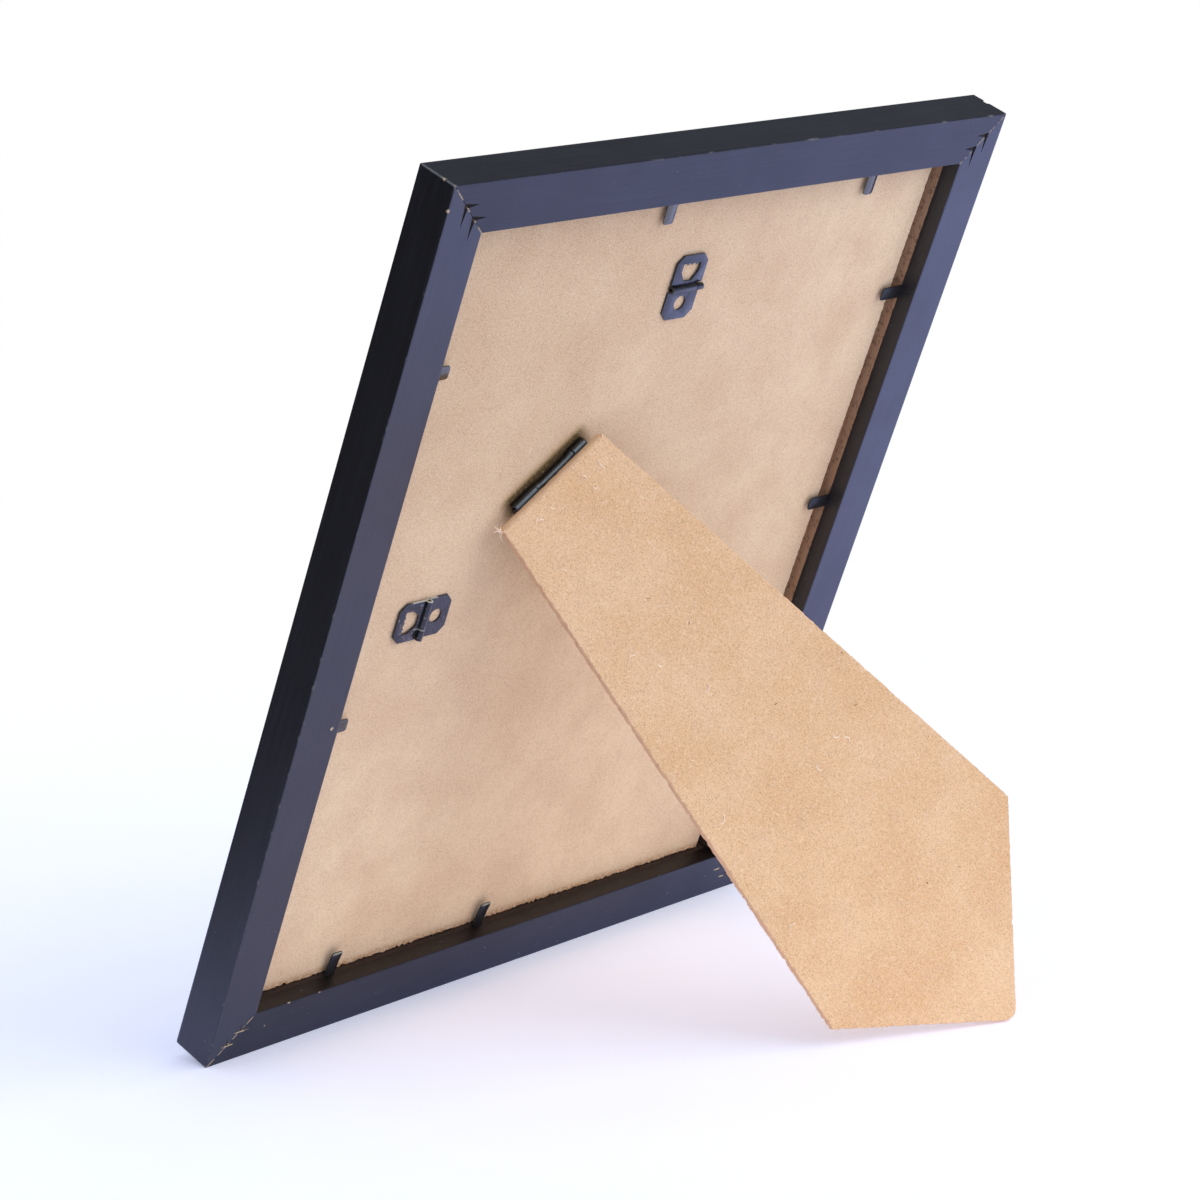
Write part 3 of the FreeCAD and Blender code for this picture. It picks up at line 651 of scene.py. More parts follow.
def print_paper(look):
    """Uncoated white paper, printed with one thin border; a soft matt sheet with a faint tooth."""
    material, tree = new_material("uncoated_print_paper", {"IOR": 1.45, "Roughness": 0.7})
    place = own_mm(tree, FRAME_TO_ROW)
    from_side, from_end, _, _ = frame_places(place)
    inward = add("Math", from_side, from_end, operation="MINIMUM")
    line = add("MapRange", off(inward, RAIL_BACK + look.inset / MM), 0.35, 0.2, **SOFT)
    tooth = patches(place, 0.8, 0.25, 0.75)
    tint = layered(look.paper, (tooth, 0.12, look.line), (line, 1.0, look.line))
    return finished_material(material, tint, None, tooth, 0.02)


# Shapes


def give(target, material):
    """Puts one material on a piece or a CAD node."""
    target.data.materials.clear()
    target.data.materials.append(material)


def in_scene(name, data):
    """A new object in the scene, made of a mesh, a light or a camera."""
    thing = bpy.data.objects.new(name, data)
    bpy.context.scene.collection.objects.link(thing)
    return thing


def placed(name, shape):
    """A bmesh becomes the mesh of a new object."""
    mesh = bpy.data.meshes.new(name)
    shape.to_mesh(mesh)
    shape.free()
    return in_scene(name, mesh)


def finished(name, shape, to_row, body, slot, material, smooth=35.0):
    """A bmesh in millimetres becomes a piece that rides on a body."""
    bmesh.ops.remove_doubles(shape, verts=shape.verts, dist=1e-4)
    bmesh.ops.recalc_face_normals(shape, faces=shape.faces)
    shape.transform(to_row @ Matrix.Scale(MM, 4))
    piece = placed(name, shape)
    piece.data.shade_smooth()
    piece.data.set_sharp_from_angle(angle=math.radians(smooth))
    for face in piece.data.polygons:
        face.use_smooth = len(face.vertices) < 9
    give(piece, material)
    if body:
        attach(piece, body)
    return piece


def settled(piece):
    """Applies a piece's modifiers to its mesh."""
    graph = bpy.context.evaluated_depsgraph_get()
    mesh = bpy.data.meshes.new_from_object(piece.evaluated_get(graph))
    piece.modifiers.clear()
    old = piece.data
    piece.data = mesh
    bpy.data.meshes.remove(old)


def loft(shape, rings, capped=True):
    """Joins closed rings of points with quads, and caps both ends."""
    rows = [[shape.verts.new(point) for point in ring] for ring in rings]
    count = len(rows[0])
    for first, second in zip(rows, rows[1:]):
        for i in range(count):
            j = (i + 1) % count
            shape.faces.new((first[i], first[j], second[j], second[i]))
    if capped:
        shape.faces.new(rows[0])
        shape.faces.new(list(reversed(rows[-1])))
    return rows


def rounded_loop(corners, radii, step):
    """Points round an outline, its corners rounded, no two further apart than step."""
    runs = []
    for i, (corner, radius) in enumerate(zip(corners, radii)):
        here = Vector(corner)
        back = (Vector(corners[i - 1]) - here).normalized()
        ahead = (Vector(corners[(i + 1) % len(corners)]) - here).normalized()
        half = back.angle(ahead) / 2
        trim = radius / math.tan(half)
        centre = here + (back + ahead).normalized() * (radius / math.sin(half))
        pieces = max(2, math.ceil((math.pi - 2 * half) / math.radians(18)))
        chord = [(here + back * trim).lerp(here + ahead * trim, k / pieces) for k in range(pieces + 1)]
        runs.append([centre + (mix - centre).normalized() * radius for mix in chord] if radius else [here])
    points = []
    for run, following in zip(runs, runs[1:] + runs[:1]):
        start, end = run[-1], following[0]
        parts = max(1, math.ceil((end - start).length / step))
        points += run + [start.lerp(end, k / parts) for k in range(1, parts)]
    return points


def outward(points):
    """The outward direction at each point of a loop."""
    count = len(points)
    area = sum(points[i].x * points[(i + 1) % count].y - points[(i + 1) % count].x * points[i].y
               for i in range(count))
    sign = 1 if area > 0 else -1
    directions = []
    for i in range(count):
        along = (points[(i + 1) % count] - points[i - 1]).normalized()
        directions.append(Vector((along.y, -along.x)) * sign)
    return directions


def sawn_plate(shape, points, low, high, ragged, lift, seed, slopes, bites=()):
    """A board cut from an outline: soft arrises, and an edge that wanders inwards.

    ragged gives how far a point of the outline is torn, lift turns a point of the plane and its
    height to a point in space, and slopes tells how far the edge is cut back at the top. bites
    are places and sizes of bigger chips.
    """
    away = outward(points)
    rounding = min(0.35, (high - low) / 5)
    levels = ((low, rounding), (low + rounding * 0.4, rounding * 0.3), (low + rounding, 0.0),
              ((low * 2 + high) / 3, 0.0), ((low + high * 2) / 3, 0.0),
              (high - rounding, 0.0), (high - rounding * 0.4, rounding * 0.3), (high, rounding))
    rings = []
    for level, inset in levels:
        ring = []
        for point, direction in zip(points, away):
            long_wave = noise.noise(Vector((point.x, point.y, level * 0.35)) / 4.5 + Vector((seed, 0, 0)))
            short_wave = noise.noise(Vector((point.x, point.y, level)) / 0.9 + Vector((0, seed, 0)))
            tears = noise.noise(Vector((point.x, point.y, level * 0.5)) / 1.7 + Vector((seed, seed, 0)))
            torn = max(0.0, tears - 0.15)
            back = ragged(point) * (0.3 + 0.2 * long_wave + 0.5 * short_wave + 1.3 * torn)
            back += slopes(point) * ((level - low) / (high - low)) ** 2
            for place, size in bites:
                gap = (point - Vector(place)).length
                if gap < size * 1.4:
                    back += size * (0.5 + 0.5 * math.cos(math.pi * gap / (size * 1.4)))
            ring.append(lift(point - direction * (max(0.0, back) + inset), level))
        rings.append(ring)
    loft(shape, rings)


def flat_point(point, level):
    """A point of the frame's plane, at a depth behind or before the rails' backs."""
    return Vector((point.x, level, point.y))


def strut_point(point, level):
    """A point of the strut's plane, at a height above its hinge."""
    return Vector((point.x, point.y, level))


def curved(root, heading, bend, long, first, parts):
    """Steps along a bent fibre: each step's share, its place and the way to its side."""
    for k in range(parts + 1):
        step = k / parts + first
        angle = heading + bend * step
        spot = root + Vector((math.cos(angle), math.sin(angle))) * long * step
        yield step, spot, Vector((-math.sin(angle), math.cos(angle)))


def loose_fibres(name, count, spread, lift, level, ground, material, seed, keep, known=()):
    """Short curled fibres that stand a hair above a raw board; known ones lie at their own places."""
    chance = random.Random(seed)
    shape = bmesh.new()
    curls = []
    while len(curls) < count:
        middle = Vector((chance.uniform(*spread[0]), chance.uniform(*spread[1])))
        curl = (middle, chance.uniform(0, 360), chance.uniform(0.6, 2.4), chance.uniform(-1.4, 1.4),
                chance.uniform(0.04, 0.09))
        if keep(middle):
            curls.append(curl)
    curls += [(Vector(spot), turn, long, bend, 0.2) for spot, turn, long, bend in known]
    for middle, turn, long, bend, thick in curls:
        rings = []
        for step, spot, side in curved(middle, math.radians(turn), bend, long, -0.5, 5):
            slim = thick * (1 - (2 * step) ** 4 * 0.7)
            rings.append([lift(spot + side * slim, level), lift(spot, level + thick * 0.8 + slim),
                          lift(spot - side * slim, level)])
        loft(shape, rings)
    finished(name, shape, *ground, material)


# Operators


class DressOperator:
    """What every operator here shares."""

    bl_options = {"REGISTER", "UNDO"}

    def settings(self, context):
        return context.scene.photo_frame


# Each rail's length, its way inwards and its way along, as across and up, where it starts, which
# way its foil's grain runs, and a number that makes its dents its own
RAILS = {
    "rail_left": (FRAME_HIGH, (-1, 0), (0, 1), (FRAME_WIDE / 2, 0), "upright", 32.93),
    "rail_right": (FRAME_HIGH, (1, 0), (0, -1), (-FRAME_WIDE / 2, FRAME_HIGH), "upright", 18.13),
    "rail_top": (FRAME_WIDE, (0, -1), (-1, 0), (FRAME_WIDE / 2, FRAME_HIGH), "across", 7.03),
    "rail_bottom": (FRAME_WIDE, (0, 1), (1, 0), (-FRAME_WIDE / 2, 0), "across", 35.15),
}

# Shares of a rail's length, close together near both mitres
NEAR_MITRE = [0.0, 0.0006, 0.0016, 0.004, 0.008, 0.013, 0.02, 0.03, 0.045]
STATIONS = NEAR_MITRE + [0.065 + 0.87 * k / 44 for k in range(45)]
STATIONS += [1 - near for near in reversed(NEAR_MITRE)]


def moulded_rail(settings, name):
    """A length of moulding with a soft profile, an open seam at each mitre and faint dents."""
    long, *ways, _, own = RAILS[name]
    inward, along, start = map(Vector, ways)
    corners = ((0, 0), (0, -RAIL_DEEP), (RAIL_FULL, -RAIL_DEEP), (RAIL_FULL, REBATE_FLOOR),
               (RAIL_BACK, REBATE_FLOOR), (RAIL_BACK, 0))
    profile = rounded_loop(corners, (0.28, 1.2, 0.6, 0.25, 0.0, 0.3), 0.75)
    away = outward(profile)
    shape = bmesh.new()
    rings = []
    for station in STATIONS:
        ring = []
        for point, direction in zip(profile, away):
            travel = point.x + station * (long - 2 * point.x)
            if station in (0, 1):
                chip = noise.noise(Vector((point.x * 0.8, point.y * 0.8, own + station * 9)))
                shrink = settings.seam / MM * (1 + 1.6 * max(0.0, chip))
            else:
                dent = noise.noise(Vector((travel / 19, point.x / 4, point.y / 4 + own)))
                shrink = 0.02 + 0.012 * dent
            spot = point - direction * shrink
            plan = start + inward * spot.x + along * travel
            ring.append(Vector((plan.x, spot.y, plan.y)))
        rings.append(ring)
    loft(shape, rings)
    return shape


def nail_gouges(settings):
    """The torn slots that the corner nails left, as cutting wedges, small at the foot."""
    shape = bmesh.new()
    wide = settings.gouge / MM
    for side in (-1, 1):
        for base, rise, grown in ((0.0, 1, 0.4), (FRAME_HIGH, -1, 1.0)):
            for place in NAIL_PLACES:
                long, short = place + NAIL_ARM * grown * 1.5, place + NAIL_ARM * grown * 1.15
                plan = ((place - 0.4 * grown, place - 0.4 * grown, 1.25), (place + 0.2, long, 0.12),
                        (place + wide * grown, place + wide * grown * 0.9, 0.75),
                        (short, place + 0.3, 0.12))
                top, low = [], []
                for a, b, deep in plan:
                    spot = (side * (FRAME_WIDE / 2 - a), base + rise * b)
                    top.append(shape.verts.new((spot[0], 0.6, spot[1])))
                    low.append(shape.verts.new((spot[0], -deep, spot[1])))
                for row in (top, low):
                    shape.faces.new((row[0], row[1], row[2]))
                    shape.faces.new((row[0], row[2], row[3]))
                for i in range(4):
                    j = (i + 1) % 4
                    shape.faces.new((top[i], top[j], low[j], low[i]))
    nick = Matrix.Translation((-FRAME_WIDE / 2, -8.2, FRAME_HIGH)) @ Matrix.Rotation(0.6, 4, "X")
    nick @= Matrix.Diagonal((1.3, 1.7, 1.1, 1))
    bmesh.ops.create_icosphere(shape, subdivisions=1, radius=1.0, matrix=nick)
    bmesh.ops.recalc_face_normals(shape, faces=shape.faces)
    shape.transform(FRAME_TO_ROW @ Matrix.Scale(MM, 4))
    return placed("nail_gouge_cutter", shape)


class DressRails(DressOperator, bpy.types.Operator):
    """Makes the four foil wrapped rails with their mitres and nail slots"""

    bl_idname = "photo_frame.rails"
    bl_label = "Rails"

    def execute(self, context):
        settings = self.settings(context).moulding
        fine = settings.grain / MM
        foils = {
            # Painted light: the upright rails' foil reflects more than the across rails', a brighter copy of one
            # foil
            "upright": black_foil(settings, "black_grain_foil_upright", (fine, fine, 34.0), 1.65),
            "across": black_foil(settings, "black_grain_foil_across", (34.0, fine, fine), 1.47),
        }
        cutter = nail_gouges(settings)
        for name, facts in RAILS.items():
            shape = moulded_rail(settings, name)
            foil = foils[facts[-2]]
            piece = finished(name + "_moulding", shape, FRAME_TO_ROW, None, "black_foil", foil, 40.0)
            cut = piece.modifiers.new("gouges", "BOOLEAN")
            cut.operation = "DIFFERENCE"
            cut.solver = "EXACT"
            cut.object = cutter
            settled(piece)
            give(piece, foil)
            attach(piece, "frame")
            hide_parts(name)
        bpy.data.objects.remove(cutter)
        hardware = self.settings(context).hardware
        give(frame["nodes"]["corner_nails"], rolled_nail_steel(hardware))
        return {"FINISHED"}


class DressBoard(DressOperator, bpy.types.Operator):
    """Makes the hardboard back with its torn edge and loose fibres"""

    bl_idname = "photo_frame.board"
    bl_label = "Back board"

    def execute(self, context):
        settings = self.settings(context).board
        low, high = BOARD_TOP - BOARD_THICK, BOARD_TOP
        # The board's upper left corner is darkened here as painted shade
        skin = pressed_fibreboard(
            settings, "raw_hardboard", FRAME_TO_ROW, 1, (low, high), (100.0, 0.0, 265.0), 0.38)
        # It leans on the rebate's wall at +X and stands on the bottom one
        start, end = FRAME_WIDE / 2 - RAIL_BACK - BOARD_WIDE, FRAME_WIDE / 2 - RAIL_BACK
        foot, head = RAIL_BACK, RAIL_BACK + BOARD_HIGH
        corners = ((start, foot), (end, foot), (end, head), (start, head))
        shape = bmesh.new()
        bites = (((66.8, foot), 0.9), ((38.0, foot), 0.5), ((-20.0, foot), 0.45), ((start, 150.0), 0.5))
        sawn_plate(shape, rounded_loop(corners, (0.5, 0.5, 0.5, 0.5), 0.4), low, high,
                   lambda point: settings.ragged / MM * (2.4 if point.y < foot + 1 else 1.0),
                   flat_point, 3.1, lambda point: 0.0, bites)
        piece = finished("back_board_sheet", shape, *BOARD_GROUND, skin)
        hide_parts("back_board")
        fluff = loose_fibre(settings, "loose_board_fibre", FRAME_TO_ROW)
        loose_fibres("back_board_fibres", settings.fibres, ((start + 3, end - 3), (foot + 3, head - 3)),
                     flat_point, BOARD_TOP + 0.01, BOARD_GROUND, fluff, 11, lambda spot: True)
        return {"FINISHED"}


def inside_strut(spot):
    """Whether a point of the strut's plane is well inside its outline."""
    corners = [Vector(corner) for corner in STRUT_CORNERS]
    return all((second - first).normalized().cross(spot - first) >= 2.0
               for first, second in zip(corners, corners[1:] + corners[:1]))


class DressStrut(DressOperator, bpy.types.Operator):
    """Makes the sawn fibreboard strut with its torn corner and loose fibres"""

    bl_idname = "photo_frame.strut"
    bl_label = "Strut"

    def execute(self, context):
        settings = self.settings(context).strut
        low, high = STRUT_INNER, STRUT_INNER + STRUT_THICK
        skin = pressed_fibreboard(
            settings, "raw_medium_fibreboard", STRUT_TO_ROW, 2, (low, high), (10.0, -15.0, 3.0), 0.24)
        shape = bmesh.new()
        points = rounded_loop(STRUT_CORNERS, (0.6, 0.8, 3.5, 0.8, 0.6), 0.7)

        def at_hinge(point):
            return point.x < 0.6

        def ragged(point):
            """The end at the hinge is clean, and the lower long edge is torn most."""
            return 0.1 if at_hinge(point) else settings.ragged / MM * (1.7 if point.y < -19 else 1.0)

        sawn_plate(shape, points, low, high, ragged, strut_point, 8.3,
                   lambda point: 0.9 if at_hinge(point) else 0.0)
        piece = finished("strut_board", shape, *STRUT_GROUND, skin)
        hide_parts("strut")
        fluff = loose_fibre(settings, "loose_strut_fibre", STRUT_TO_ROW)
        loose_fibres("strut_fibres", settings.fibres, ((2.0, 217.0), (-43.0, 41.0)), strut_point, high,
                     STRUT_GROUND, fluff, 5, inside_strut, STRUT_FIBRES)
        self.tuft(fluff, high)
        self.bark(settings, high)
        return {"FINISHED"}

    def bark(self, settings, level):
        """Dark slivers of bark pressed into the strut's face."""
        chance = random.Random(8)
        material, tree = new_material("pressed_bark", {"Roughness": 0.85, "IOR": 1.45})
        tone = patches(own_mm(tree, STRUT_TO_ROW), 0.3, 0.3, 0.7)
        finished_material(material, layered(settings.speck, (tone, 0.6, settings.shade_and_tone)))
        shape = bmesh.new()
        for spot in STRUT_BARK:
            heading = math.radians(chance.uniform(0, 180))
            long, wide = chance.uniform(0.35, 0.8), chance.uniform(0.12, 0.24)
            rings = []
            for high, shrink in ((level - 0.15, 1.0), (level + 0.03, 0.9)):
                ring = []
                for k in range(9):
                    angle = math.tau * k / 9
                    reach = shrink * (1 + 0.25 * math.sin(3 * angle + spot[0]))
                    flat = Vector((long * math.cos(angle), wide * math.sin(angle))) * reach
                    flat.rotate(Matrix.Rotation(heading, 2))
                    ring.append(strut_point(Vector(spot) + flat, high))
                rings.append(ring)
            loft(shape, rings)
        finished("strut_bark", shape, *STRUT_GROUND, material)

    def tuft(self, material, level):
        """The curl of torn fibre at the strut's upper corner."""
        chance = random.Random(21)
        shape = bmesh.new()
        for _ in range(9):
            rings = []
            heading = math.radians(chance.uniform(195, 275))
            long = chance.uniform(1.4, 3.0)
            curl = chance.uniform(-1.6, 1.6)
            root = Vector((0.8 + chance.uniform(-0.3, 0.8), -20.4 + chance.uniform(-0.3, 0.3)))
            thick = chance.uniform(0.12, 0.24)
            rise = chance.uniform(-0.4, 0.5)
            for step, spot, side in curved(root, heading, curl, long, 0.0, 6):
                aside = side * thick * (1 - step * 0.7)
                top = level - 1.6 + rise * step
                rings.append([strut_point(spot + aside, top), strut_point(spot, top + thick),
                              strut_point(spot - aside, top), strut_point(spot, top - thick)])
            loft(shape, rings)
        finished("strut_corner_tuft", shape, *STRUT_GROUND, material)


def ring_round(radius, place, aside=0.0, raised=0.0):
    """A ring round the hinge's pin, at a place along it."""
    return [(radius * math.cos(a) + aside, place, radius * math.sin(a) + raised)
            for a in (math.tau * i / 48 for i in range(48))]


def stamped(node, body, material, rounding):
    """A metal node with its stamped edges rounded, as a new piece in its place."""
    shape = bmesh.new()
    shape.from_mesh(frame["nodes"][node].data)
    bmesh.ops.remove_doubles(shape, verts=shape.verts, dist=1e-7)
    bmesh.ops.dissolve_limit(shape, angle_limit=math.radians(0.6), verts=shape.verts, edges=shape.edges)
    piece = placed(node + "_metal", shape)
    soft = piece.modifiers.new("edges", "BEVEL")
    soft.width = rounding
    soft.segments = 2
    soft.limit_method = "ANGLE"
    soft.angle_limit = math.radians(50)
    soft.use_clamp_overlap = True
    settled(piece)
    piece.data.shade_smooth()
    piece.data.set_sharp_from_angle(angle=math.radians(32))
    give(piece, material)
    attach(piece, body)
    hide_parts(node)


class DressHardware(DressOperator, bpy.types.Operator):
    """Rounds and lacquers the hangers and the strut's hinge"""

    bl_idname = "photo_frame.hardware"
    bl_label = "Hangers and hinge"

    def execute(self, context):
        settings = self.settings(context).hardware
        plain = black_lacquered_steel(settings, "black_lacquered_steel", 0.0, (0.95, 0.97, 1.0))
        rubbed = black_lacquered_steel(settings, "rubbed_lacquered_steel", 0.35, (0.97, 0.95, 1.0))
        oiled = black_lacquered_steel(settings, "oiled_lacquered_steel", 0.0, (0.86, 0.96, 1.0))
        behaviour = frame["record"]["behaviour"]
        bodies = {node: body for body, nodes in behaviour["bodies"].items() for node in nodes}
        for hanger in ("top_hanger", "side_hanger"):
            for part in ("_plate", "_loop"):
                node = hanger + part
                skin = rubbed if hanger == "side_hanger" else plain
                stamped(node, bodies[node], skin, settings.edge)
            give(frame["nodes"][hanger + "_pin"], rubbed)
        for node in ("strut_board_leaf", "strut_leaf"):
            stamped(node, bodies[node], oiled, settings.edge)
        for node in ("strut_hinge_pin", "board_rivets", "strut_rivets"):
            give(frame["nodes"][node], oiled)
        self.knuckles(oiled)
        return {"FINISHED"}

    def knuckles(self, material):
        """The rolled barrel: two full outer knuckles, and a slimmer one that swells to meet them."""
        first, middle, last, gap = HINGE_KNUCKLES
        start = HINGE_SHIFT - (first + middle + last + 2 * gap) / 2
        middle_start = start + first + gap
        last_start = middle_start + middle + gap
        for name, body, low, long in (("hinge_knuckle_first", "strut", start, first),
                                      ("hinge_knuckle_middle", "frame", middle_start, middle),
                                      ("hinge_knuckle_last", "strut", last_start, last)):
            fixed = body == "frame"
            shape = bmesh.new()
            rings = []
            for k in range(33):
                place = low + long * k / 32
                from_end = min(place - low, low + long - place)
                swell = max(0.0, 1 - from_end / 2.8)
                slim = 1 - swell * swell * (3 - 2 * swell) if fixed else 0.0
                radius = (FIXED_KNUCKLE if fixed else TURNING_KNUCKLE) - FIXED_SLIMMER * slim
                radius -= 0.1 * max(0.0, 1 - from_end / 0.2) ** 2
                rings.append(ring_round(radius, place, *((0.2 * slim, 0.0) if fixed else TURNING_OFF_PIN)))
            bore = FIXED_BORE if fixed else TURNING_BORE
            rings += [ring_round(bore, low + long), ring_round(bore, low)]
            rows = loft(shape, rings, capped=False)
            for i in range(48):
                j = (i + 1) % 48
                shape.faces.new((rows[-1][i], rows[-1][j], rows[0][j], rows[0][i]))
            finished(name, shape, STRUT_TO_ROW, body, "black_hardware", material, 50.0)


class DressTabs(DressOperator, bpy.types.Operator):
    """Makes the eight flexible points as strips that run from the wall over the board"""

    bl_idname = "photo_frame.tabs"
    bl_label = "Flexible points"

    def execute(self, context):
        settings = self.settings(context).hardware
        lit_tabs, shaded_tabs = lit_tabs_spring_steel(settings), shaded_tabs_spring_steel(settings)
        reach = settings.tab_reach / MM
        for name in TAB_NAMES:
            low, right = "bottom" in name, "right" in name
            joint = JOINTS[name + "_bend"]
            side = -Vector(joint["axis"])
            to_row = axes_matrix(side.cross(OUT), side, OUT, Vector(joint["pos_m"]))
            shape = bmesh.new()
            # The shank's end, its mouth in the wall, the bend, the blade and its round tip
            places = [-6.775, -3.0, -0.9] + [-0.75 + 0.15 * k for k in range(17)] + [2.4, 4.0, 5.6, 7.2]
            places += [reach - TAB_TIP * (1 - math.sin(math.radians(15 * k))) for k in range(7)]
            loft(shape, [self.section(settings, place, low) for place in places])
            # Painted light: the bottom and right tabs get the shaded copy of the steel, the top and left ones the
            # lit copy
            piece = finished(name + "_strip", shape, to_row, None, "black_hardware",
                             shaded_tabs if low or right else lit_tabs, 50.0)
            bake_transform(piece)
            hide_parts(name, "tab_shanks")
        return {"FINISHED"}

    def section(self, settings, place, low):
        """The strip's cross-section at a place past its bend; the bottom tabs stand off the board."""
        reach, thick, half = (value / MM for value in (
            settings.tab_reach, settings.tab_gauge / 2, settings.tab_width / 2))
        from_tip = reach - place
        if from_tip < TAB_TIP:
            half -= 0.95 * (1 - math.sqrt(max(0.0, 1 - (1 - from_tip / TAB_TIP) ** 2)))
        lift = TAB_LIFT * max(0.0, place / reach) ** 1.5 if low else 0.0
        corners = []
        for side, face in ((-1, -1), (1, -1), (1, 1), (-1, 1)):
            pair = [(side * half, face * (thick - TAB_SOFT)), (side * (half - TAB_SOFT), face * thick)]
            corners += pair if side == face else reversed(pair)
        return [(place, aside, up + lift) for aside, up in corners]


class DressPane(DressOperator, bpy.types.Operator):
    """Makes the picture sheet and gives the glass its material"""

    bl_idname = "photo_frame.pane"
    bl_label = "Glass and picture"

    def execute(self, context):
        settings = self.settings(context).pane
        give(frame["nodes"]["glass_pane"], float_glass(settings))
        shape = bmesh.new()
        corners = [Vector((side * SHEET_SIDE, SHEET_ENDS[end]))
                   for side, end in ((-1, 0), (1, 0), (1, 1), (-1, 1))]
        loft(shape, [[flat_point(corner, level) for corner in corners] for level in SHEET_FACES])
        paper = print_paper(settings)
        sheet = finished("picture_sheet", shape, FRAME_TO_ROW, "frame", "print_paper", paper)
        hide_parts("picture_insert")
        return {"FINISHED"}


class SetStage(DressOperator, bpy.types.Operator):
    """Makes the floor, the lights, the white surround and the camera"""

    bl_idname = "photo_frame.stage"
    bl_label = "Stage"

    def execute(self, context):
        settings = self.settings(context).stage
        self.floor(settings)
        self.surround(context.scene, settings)
        self.key_light(settings)
        self.camera(context.scene, settings)
        context.scene.view_settings.view_transform = "Standard"
        return {"FINISHED"}

    def floor(self, settings):
        """A matt pale floor that turns to plain white, as the camera sees it, away from the object."""
        material, tree = new_material("matt_studio_paper", {"Roughness": 0.95, "Specular IOR Level": 0.1})
        paper = tree.nodes[SHADER].outputs[0]
        place = own_mm(tree, Matrix.Identity(4))
        tooth = patches(place, 60.0, 0.3, 0.7)
        finished_material(material, layered(settings.floor, (tooth, 0.1, settings.sky)))
        away = add("VectorMath", place, out=1, operation="LENGTH")
        far = add("MapRange", away, 190.0, 500.0, **SOFT)
        seen = add("LightPath", out="Is Camera Ray", tree=tree)
        white = add("Emission", (1, 1, 1), 1.0, tree=tree)
        near = add("AddShader", paper, add("Emission", settings.haze, settings.lift, tree=tree))
        shown = add("MixShader", far, near, white)
        # Painted reflection: to glossy rays the floor turns dark on the unlit side a little way off, and glows
        # blue elsewhere
        room = facing(place, (0.74, -0.67, 0.0), 150.0, 420.0)
        dark = add("Emission", settings.room, 1.0, tree=tree)
        strong = facing(place, (-0.92, 0.38, 0.0), -150.0, 460.0, 0.42, 1.2)
        bright = add("AddShader", paper, add("Emission", settings.sheen, strong, tree=tree))
        mirrored = add("MixShader", room, bright, dark)
        glossy = add("LightPath", out="Is Glossy Ray", tree=tree)
        # Painted light: near the object the floor glows warm to diffuse rays, as bounce under the strut
        thrown = add("MapRange", away, 180.0, 520.0, settings.bounce, 0.0, **SOFT)
        warm = add("AddShader", paper, add("Emission", (1.0, 0.96, 0.9), thrown, tree=tree))
        plain = add("MixShader", glossy, warm, mirrored)
        whole = add("MixShader", seen, plain, shown)
        tree.links.new(whole, tree.nodes["Material Output"].inputs["Surface"])
        mesh = bpy.data.meshes.new("studio_floor")
        corners = [(60.0 * side, 60.0 * end, 0) for side, end in ((-1, -1), (1, -1), (1, 1), (-1, 1))]
        mesh.from_pydata(corners, [], [(0, 1, 2, 3)])
        floor = in_scene("studio_floor", mesh)
        give(floor, material)

    def surround(self, scene, settings):
        """White to the camera; a cool soft fill; to glossy rays a painted reflection, dark on the unlit side, with
        a bright patch that gives the hinge barrel its highlight.
        """
        world = bpy.data.worlds.new("white_surround")
        world.use_nodes = True
        scene.world = world
        tree = world.node_tree
        tree.nodes.clear()
        toward = add("TexCoord", out="Generated", tree=tree)
        lit_side = (-0.7, 0.45, 0.35)
        level = facing(toward, lit_side, -0.7, 0.8, 0.98, 1.0)
        fill = add("Background", settings.sky, level)
        unlit = facing(toward, (-0.3, 0.75, -0.5), -0.6, 0.35, 0.26, 0.55)
        side = facing(toward, lit_side, -0.5, 0.1)
        # Painted highlight: a bright patch seen only in reflections, placed so that the hinge barrel shows a
        # highlight
        barrel_highlight_patch = facing(toward, (0.41, 0.6, 0.687), 0.8, 0.97, 0.0, 3.6)
        around = add("Background", settings.sky, all_of(unlit, side))
        highlight_patch = add("Background", settings.floor, barrel_highlight_patch)
        mirrored = add("AddShader", around, highlight_patch)
        white = add("Background", (1, 1, 1), 1.0, tree=tree)
        glossy = add("LightPath", out="Is Glossy Ray", tree=tree)
        shown = add("MixShader", glossy, fill, mirrored)
        seen = add("MixShader", add("LightPath", out="Is Camera Ray", tree=tree), shown, white)
        add("OutputWorld", seen)

    def key_light(self, settings):
        """A large soft box that faces the object."""
        light = bpy.data.lights.new("key_light", "AREA")
        light.shape = "RECTANGLE"
        light.size = light.size_y = 2.4
        light.energy = settings.key
        light.color = (1.0, 1.0, 0.95)
        lamp = in_scene("key_light", light)
        lamp.visible_camera = lamp.visible_glossy = False
        lamp.location = place = Vector((-1.0, 1.54, 1.3))
        lamp.rotation_euler = (Vector((0, 0, 0.12)) - place).to_track_quat("-Z", "Y").to_euler()

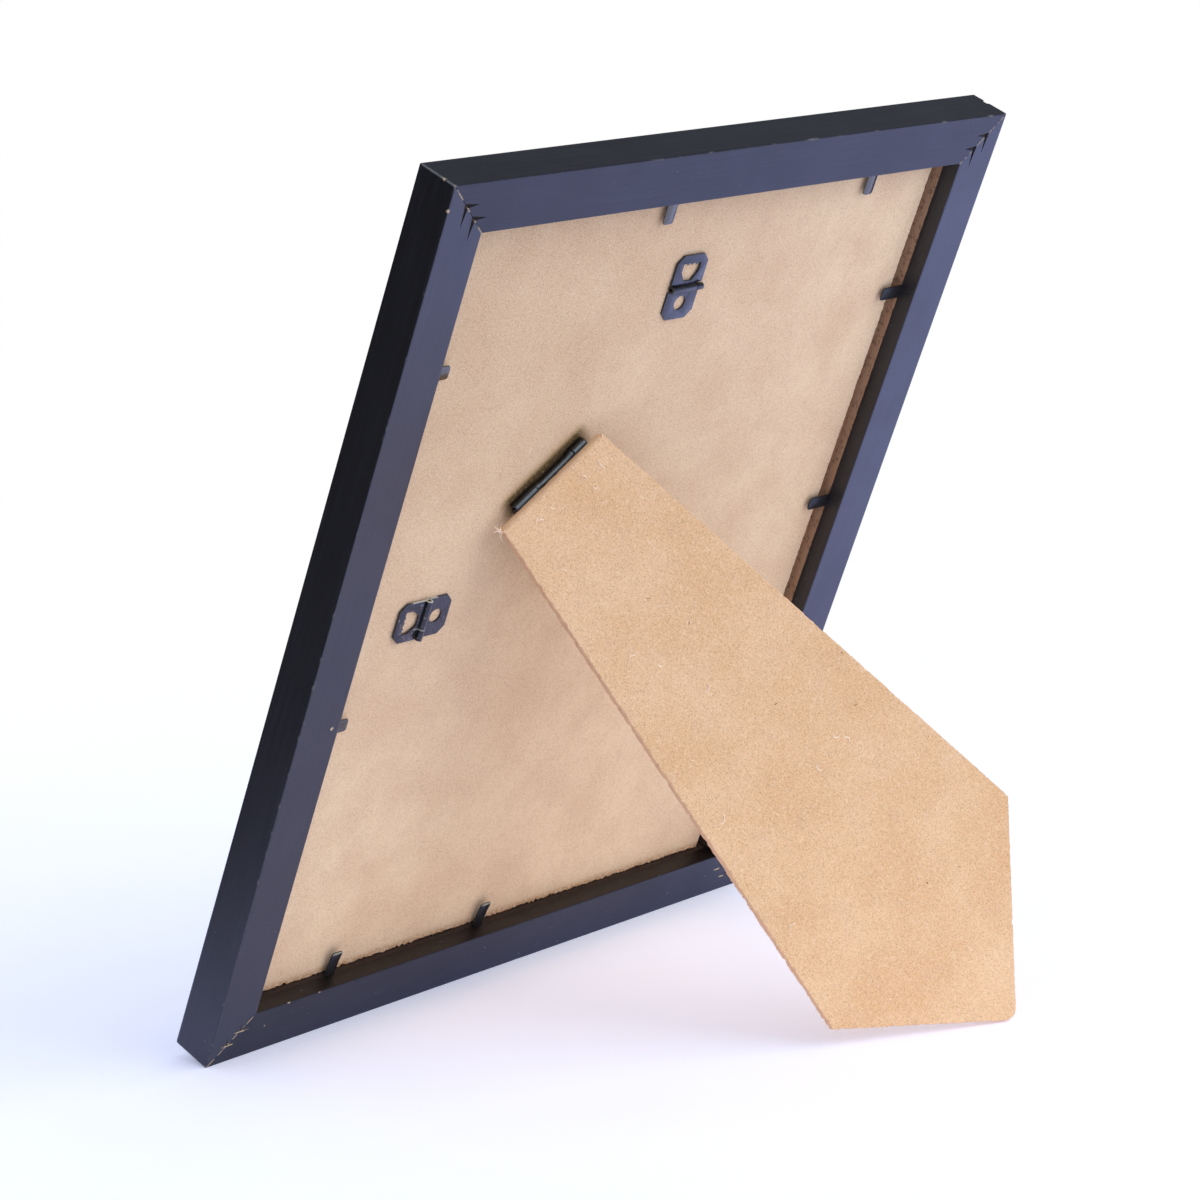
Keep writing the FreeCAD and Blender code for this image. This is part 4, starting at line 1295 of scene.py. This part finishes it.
    def camera(self, scene, settings):
        """The photograph's own view, solved from the rails' corners."""
        data = bpy.data.cameras.new("photo_view")
        data.sensor_width = data.sensor_height = 36.0
        data.sensor_fit = "HORIZONTAL"
        data.lens = settings.lens
        data.clip_start, data.clip_end = 0.05, 30.0
        # Right, down and ahead, each as a share of left to right, up and out of the back
        right = Vector((0.67308, 0.27195, 0.68776))
        down = Vector((-0.17209, -0.84682, 0.50326))
        ahead = Vector((0.71927, -0.45709, -0.52318))
        eye = Vector((FRAME_WIDE / 2 + 681.074, 579.557, 644.930)) * MM

        def turned(way):
            return Vector((-way.x, way.z, way.y))

        turn = Matrix((turned(right), -turned(down), -turned(ahead))).transposed().to_4x4()
        camera = in_scene("photo_view", data)
        camera.matrix_world = FRAME_TO_ROW @ Matrix.Translation(eye) @ turn
        scene.camera = camera


class FramePanel(bpy.types.Panel):
    """Lists the pieces of the photo frame"""

    bl_idname = "VIEW3D_PT_photo_frame"
    bl_label = "Photo frame"
    bl_space_type = "VIEW_3D"
    bl_region_type = "UI"
    bl_category = "Photo Frame"

    def draw(self, context):
        for operator in OPERATORS:
            self.layout.operator(operator.bl_idname)
        for group in FrameSettings.__annotations__:
            box = self.layout.box()
            box.label(text=group.capitalize())
            part = getattr(context.scene.photo_frame, group)
            for name in part.__annotations__:
                box.prop(part, name)


GROUPS = (MouldingSettings, BoardSettings, StrutSettings, HardwareSettings, PaneSettings, StageSettings,
          FrameSettings)
OPERATORS = (DressRails, DressBoard, DressStrut, DressHardware, DressTabs, DressPane, SetStage)


def register():
    for item in (*GROUPS, *OPERATORS, FramePanel):
        bpy.utils.register_class(item)
    bpy.types.Scene.photo_frame = bpy.props.PointerProperty(type=FrameSettings)


def unregister():
    del bpy.types.Scene.photo_frame
    for item in reversed((*GROUPS, *OPERATORS, FramePanel)):
        bpy.utils.unregister_class(item)


def main():
    register()
    for operator in OPERATORS:
        group, name = operator.bl_idname.split(".")
        getattr(getattr(bpy.ops, group), name)()


if __name__ == "__main__":
    main()
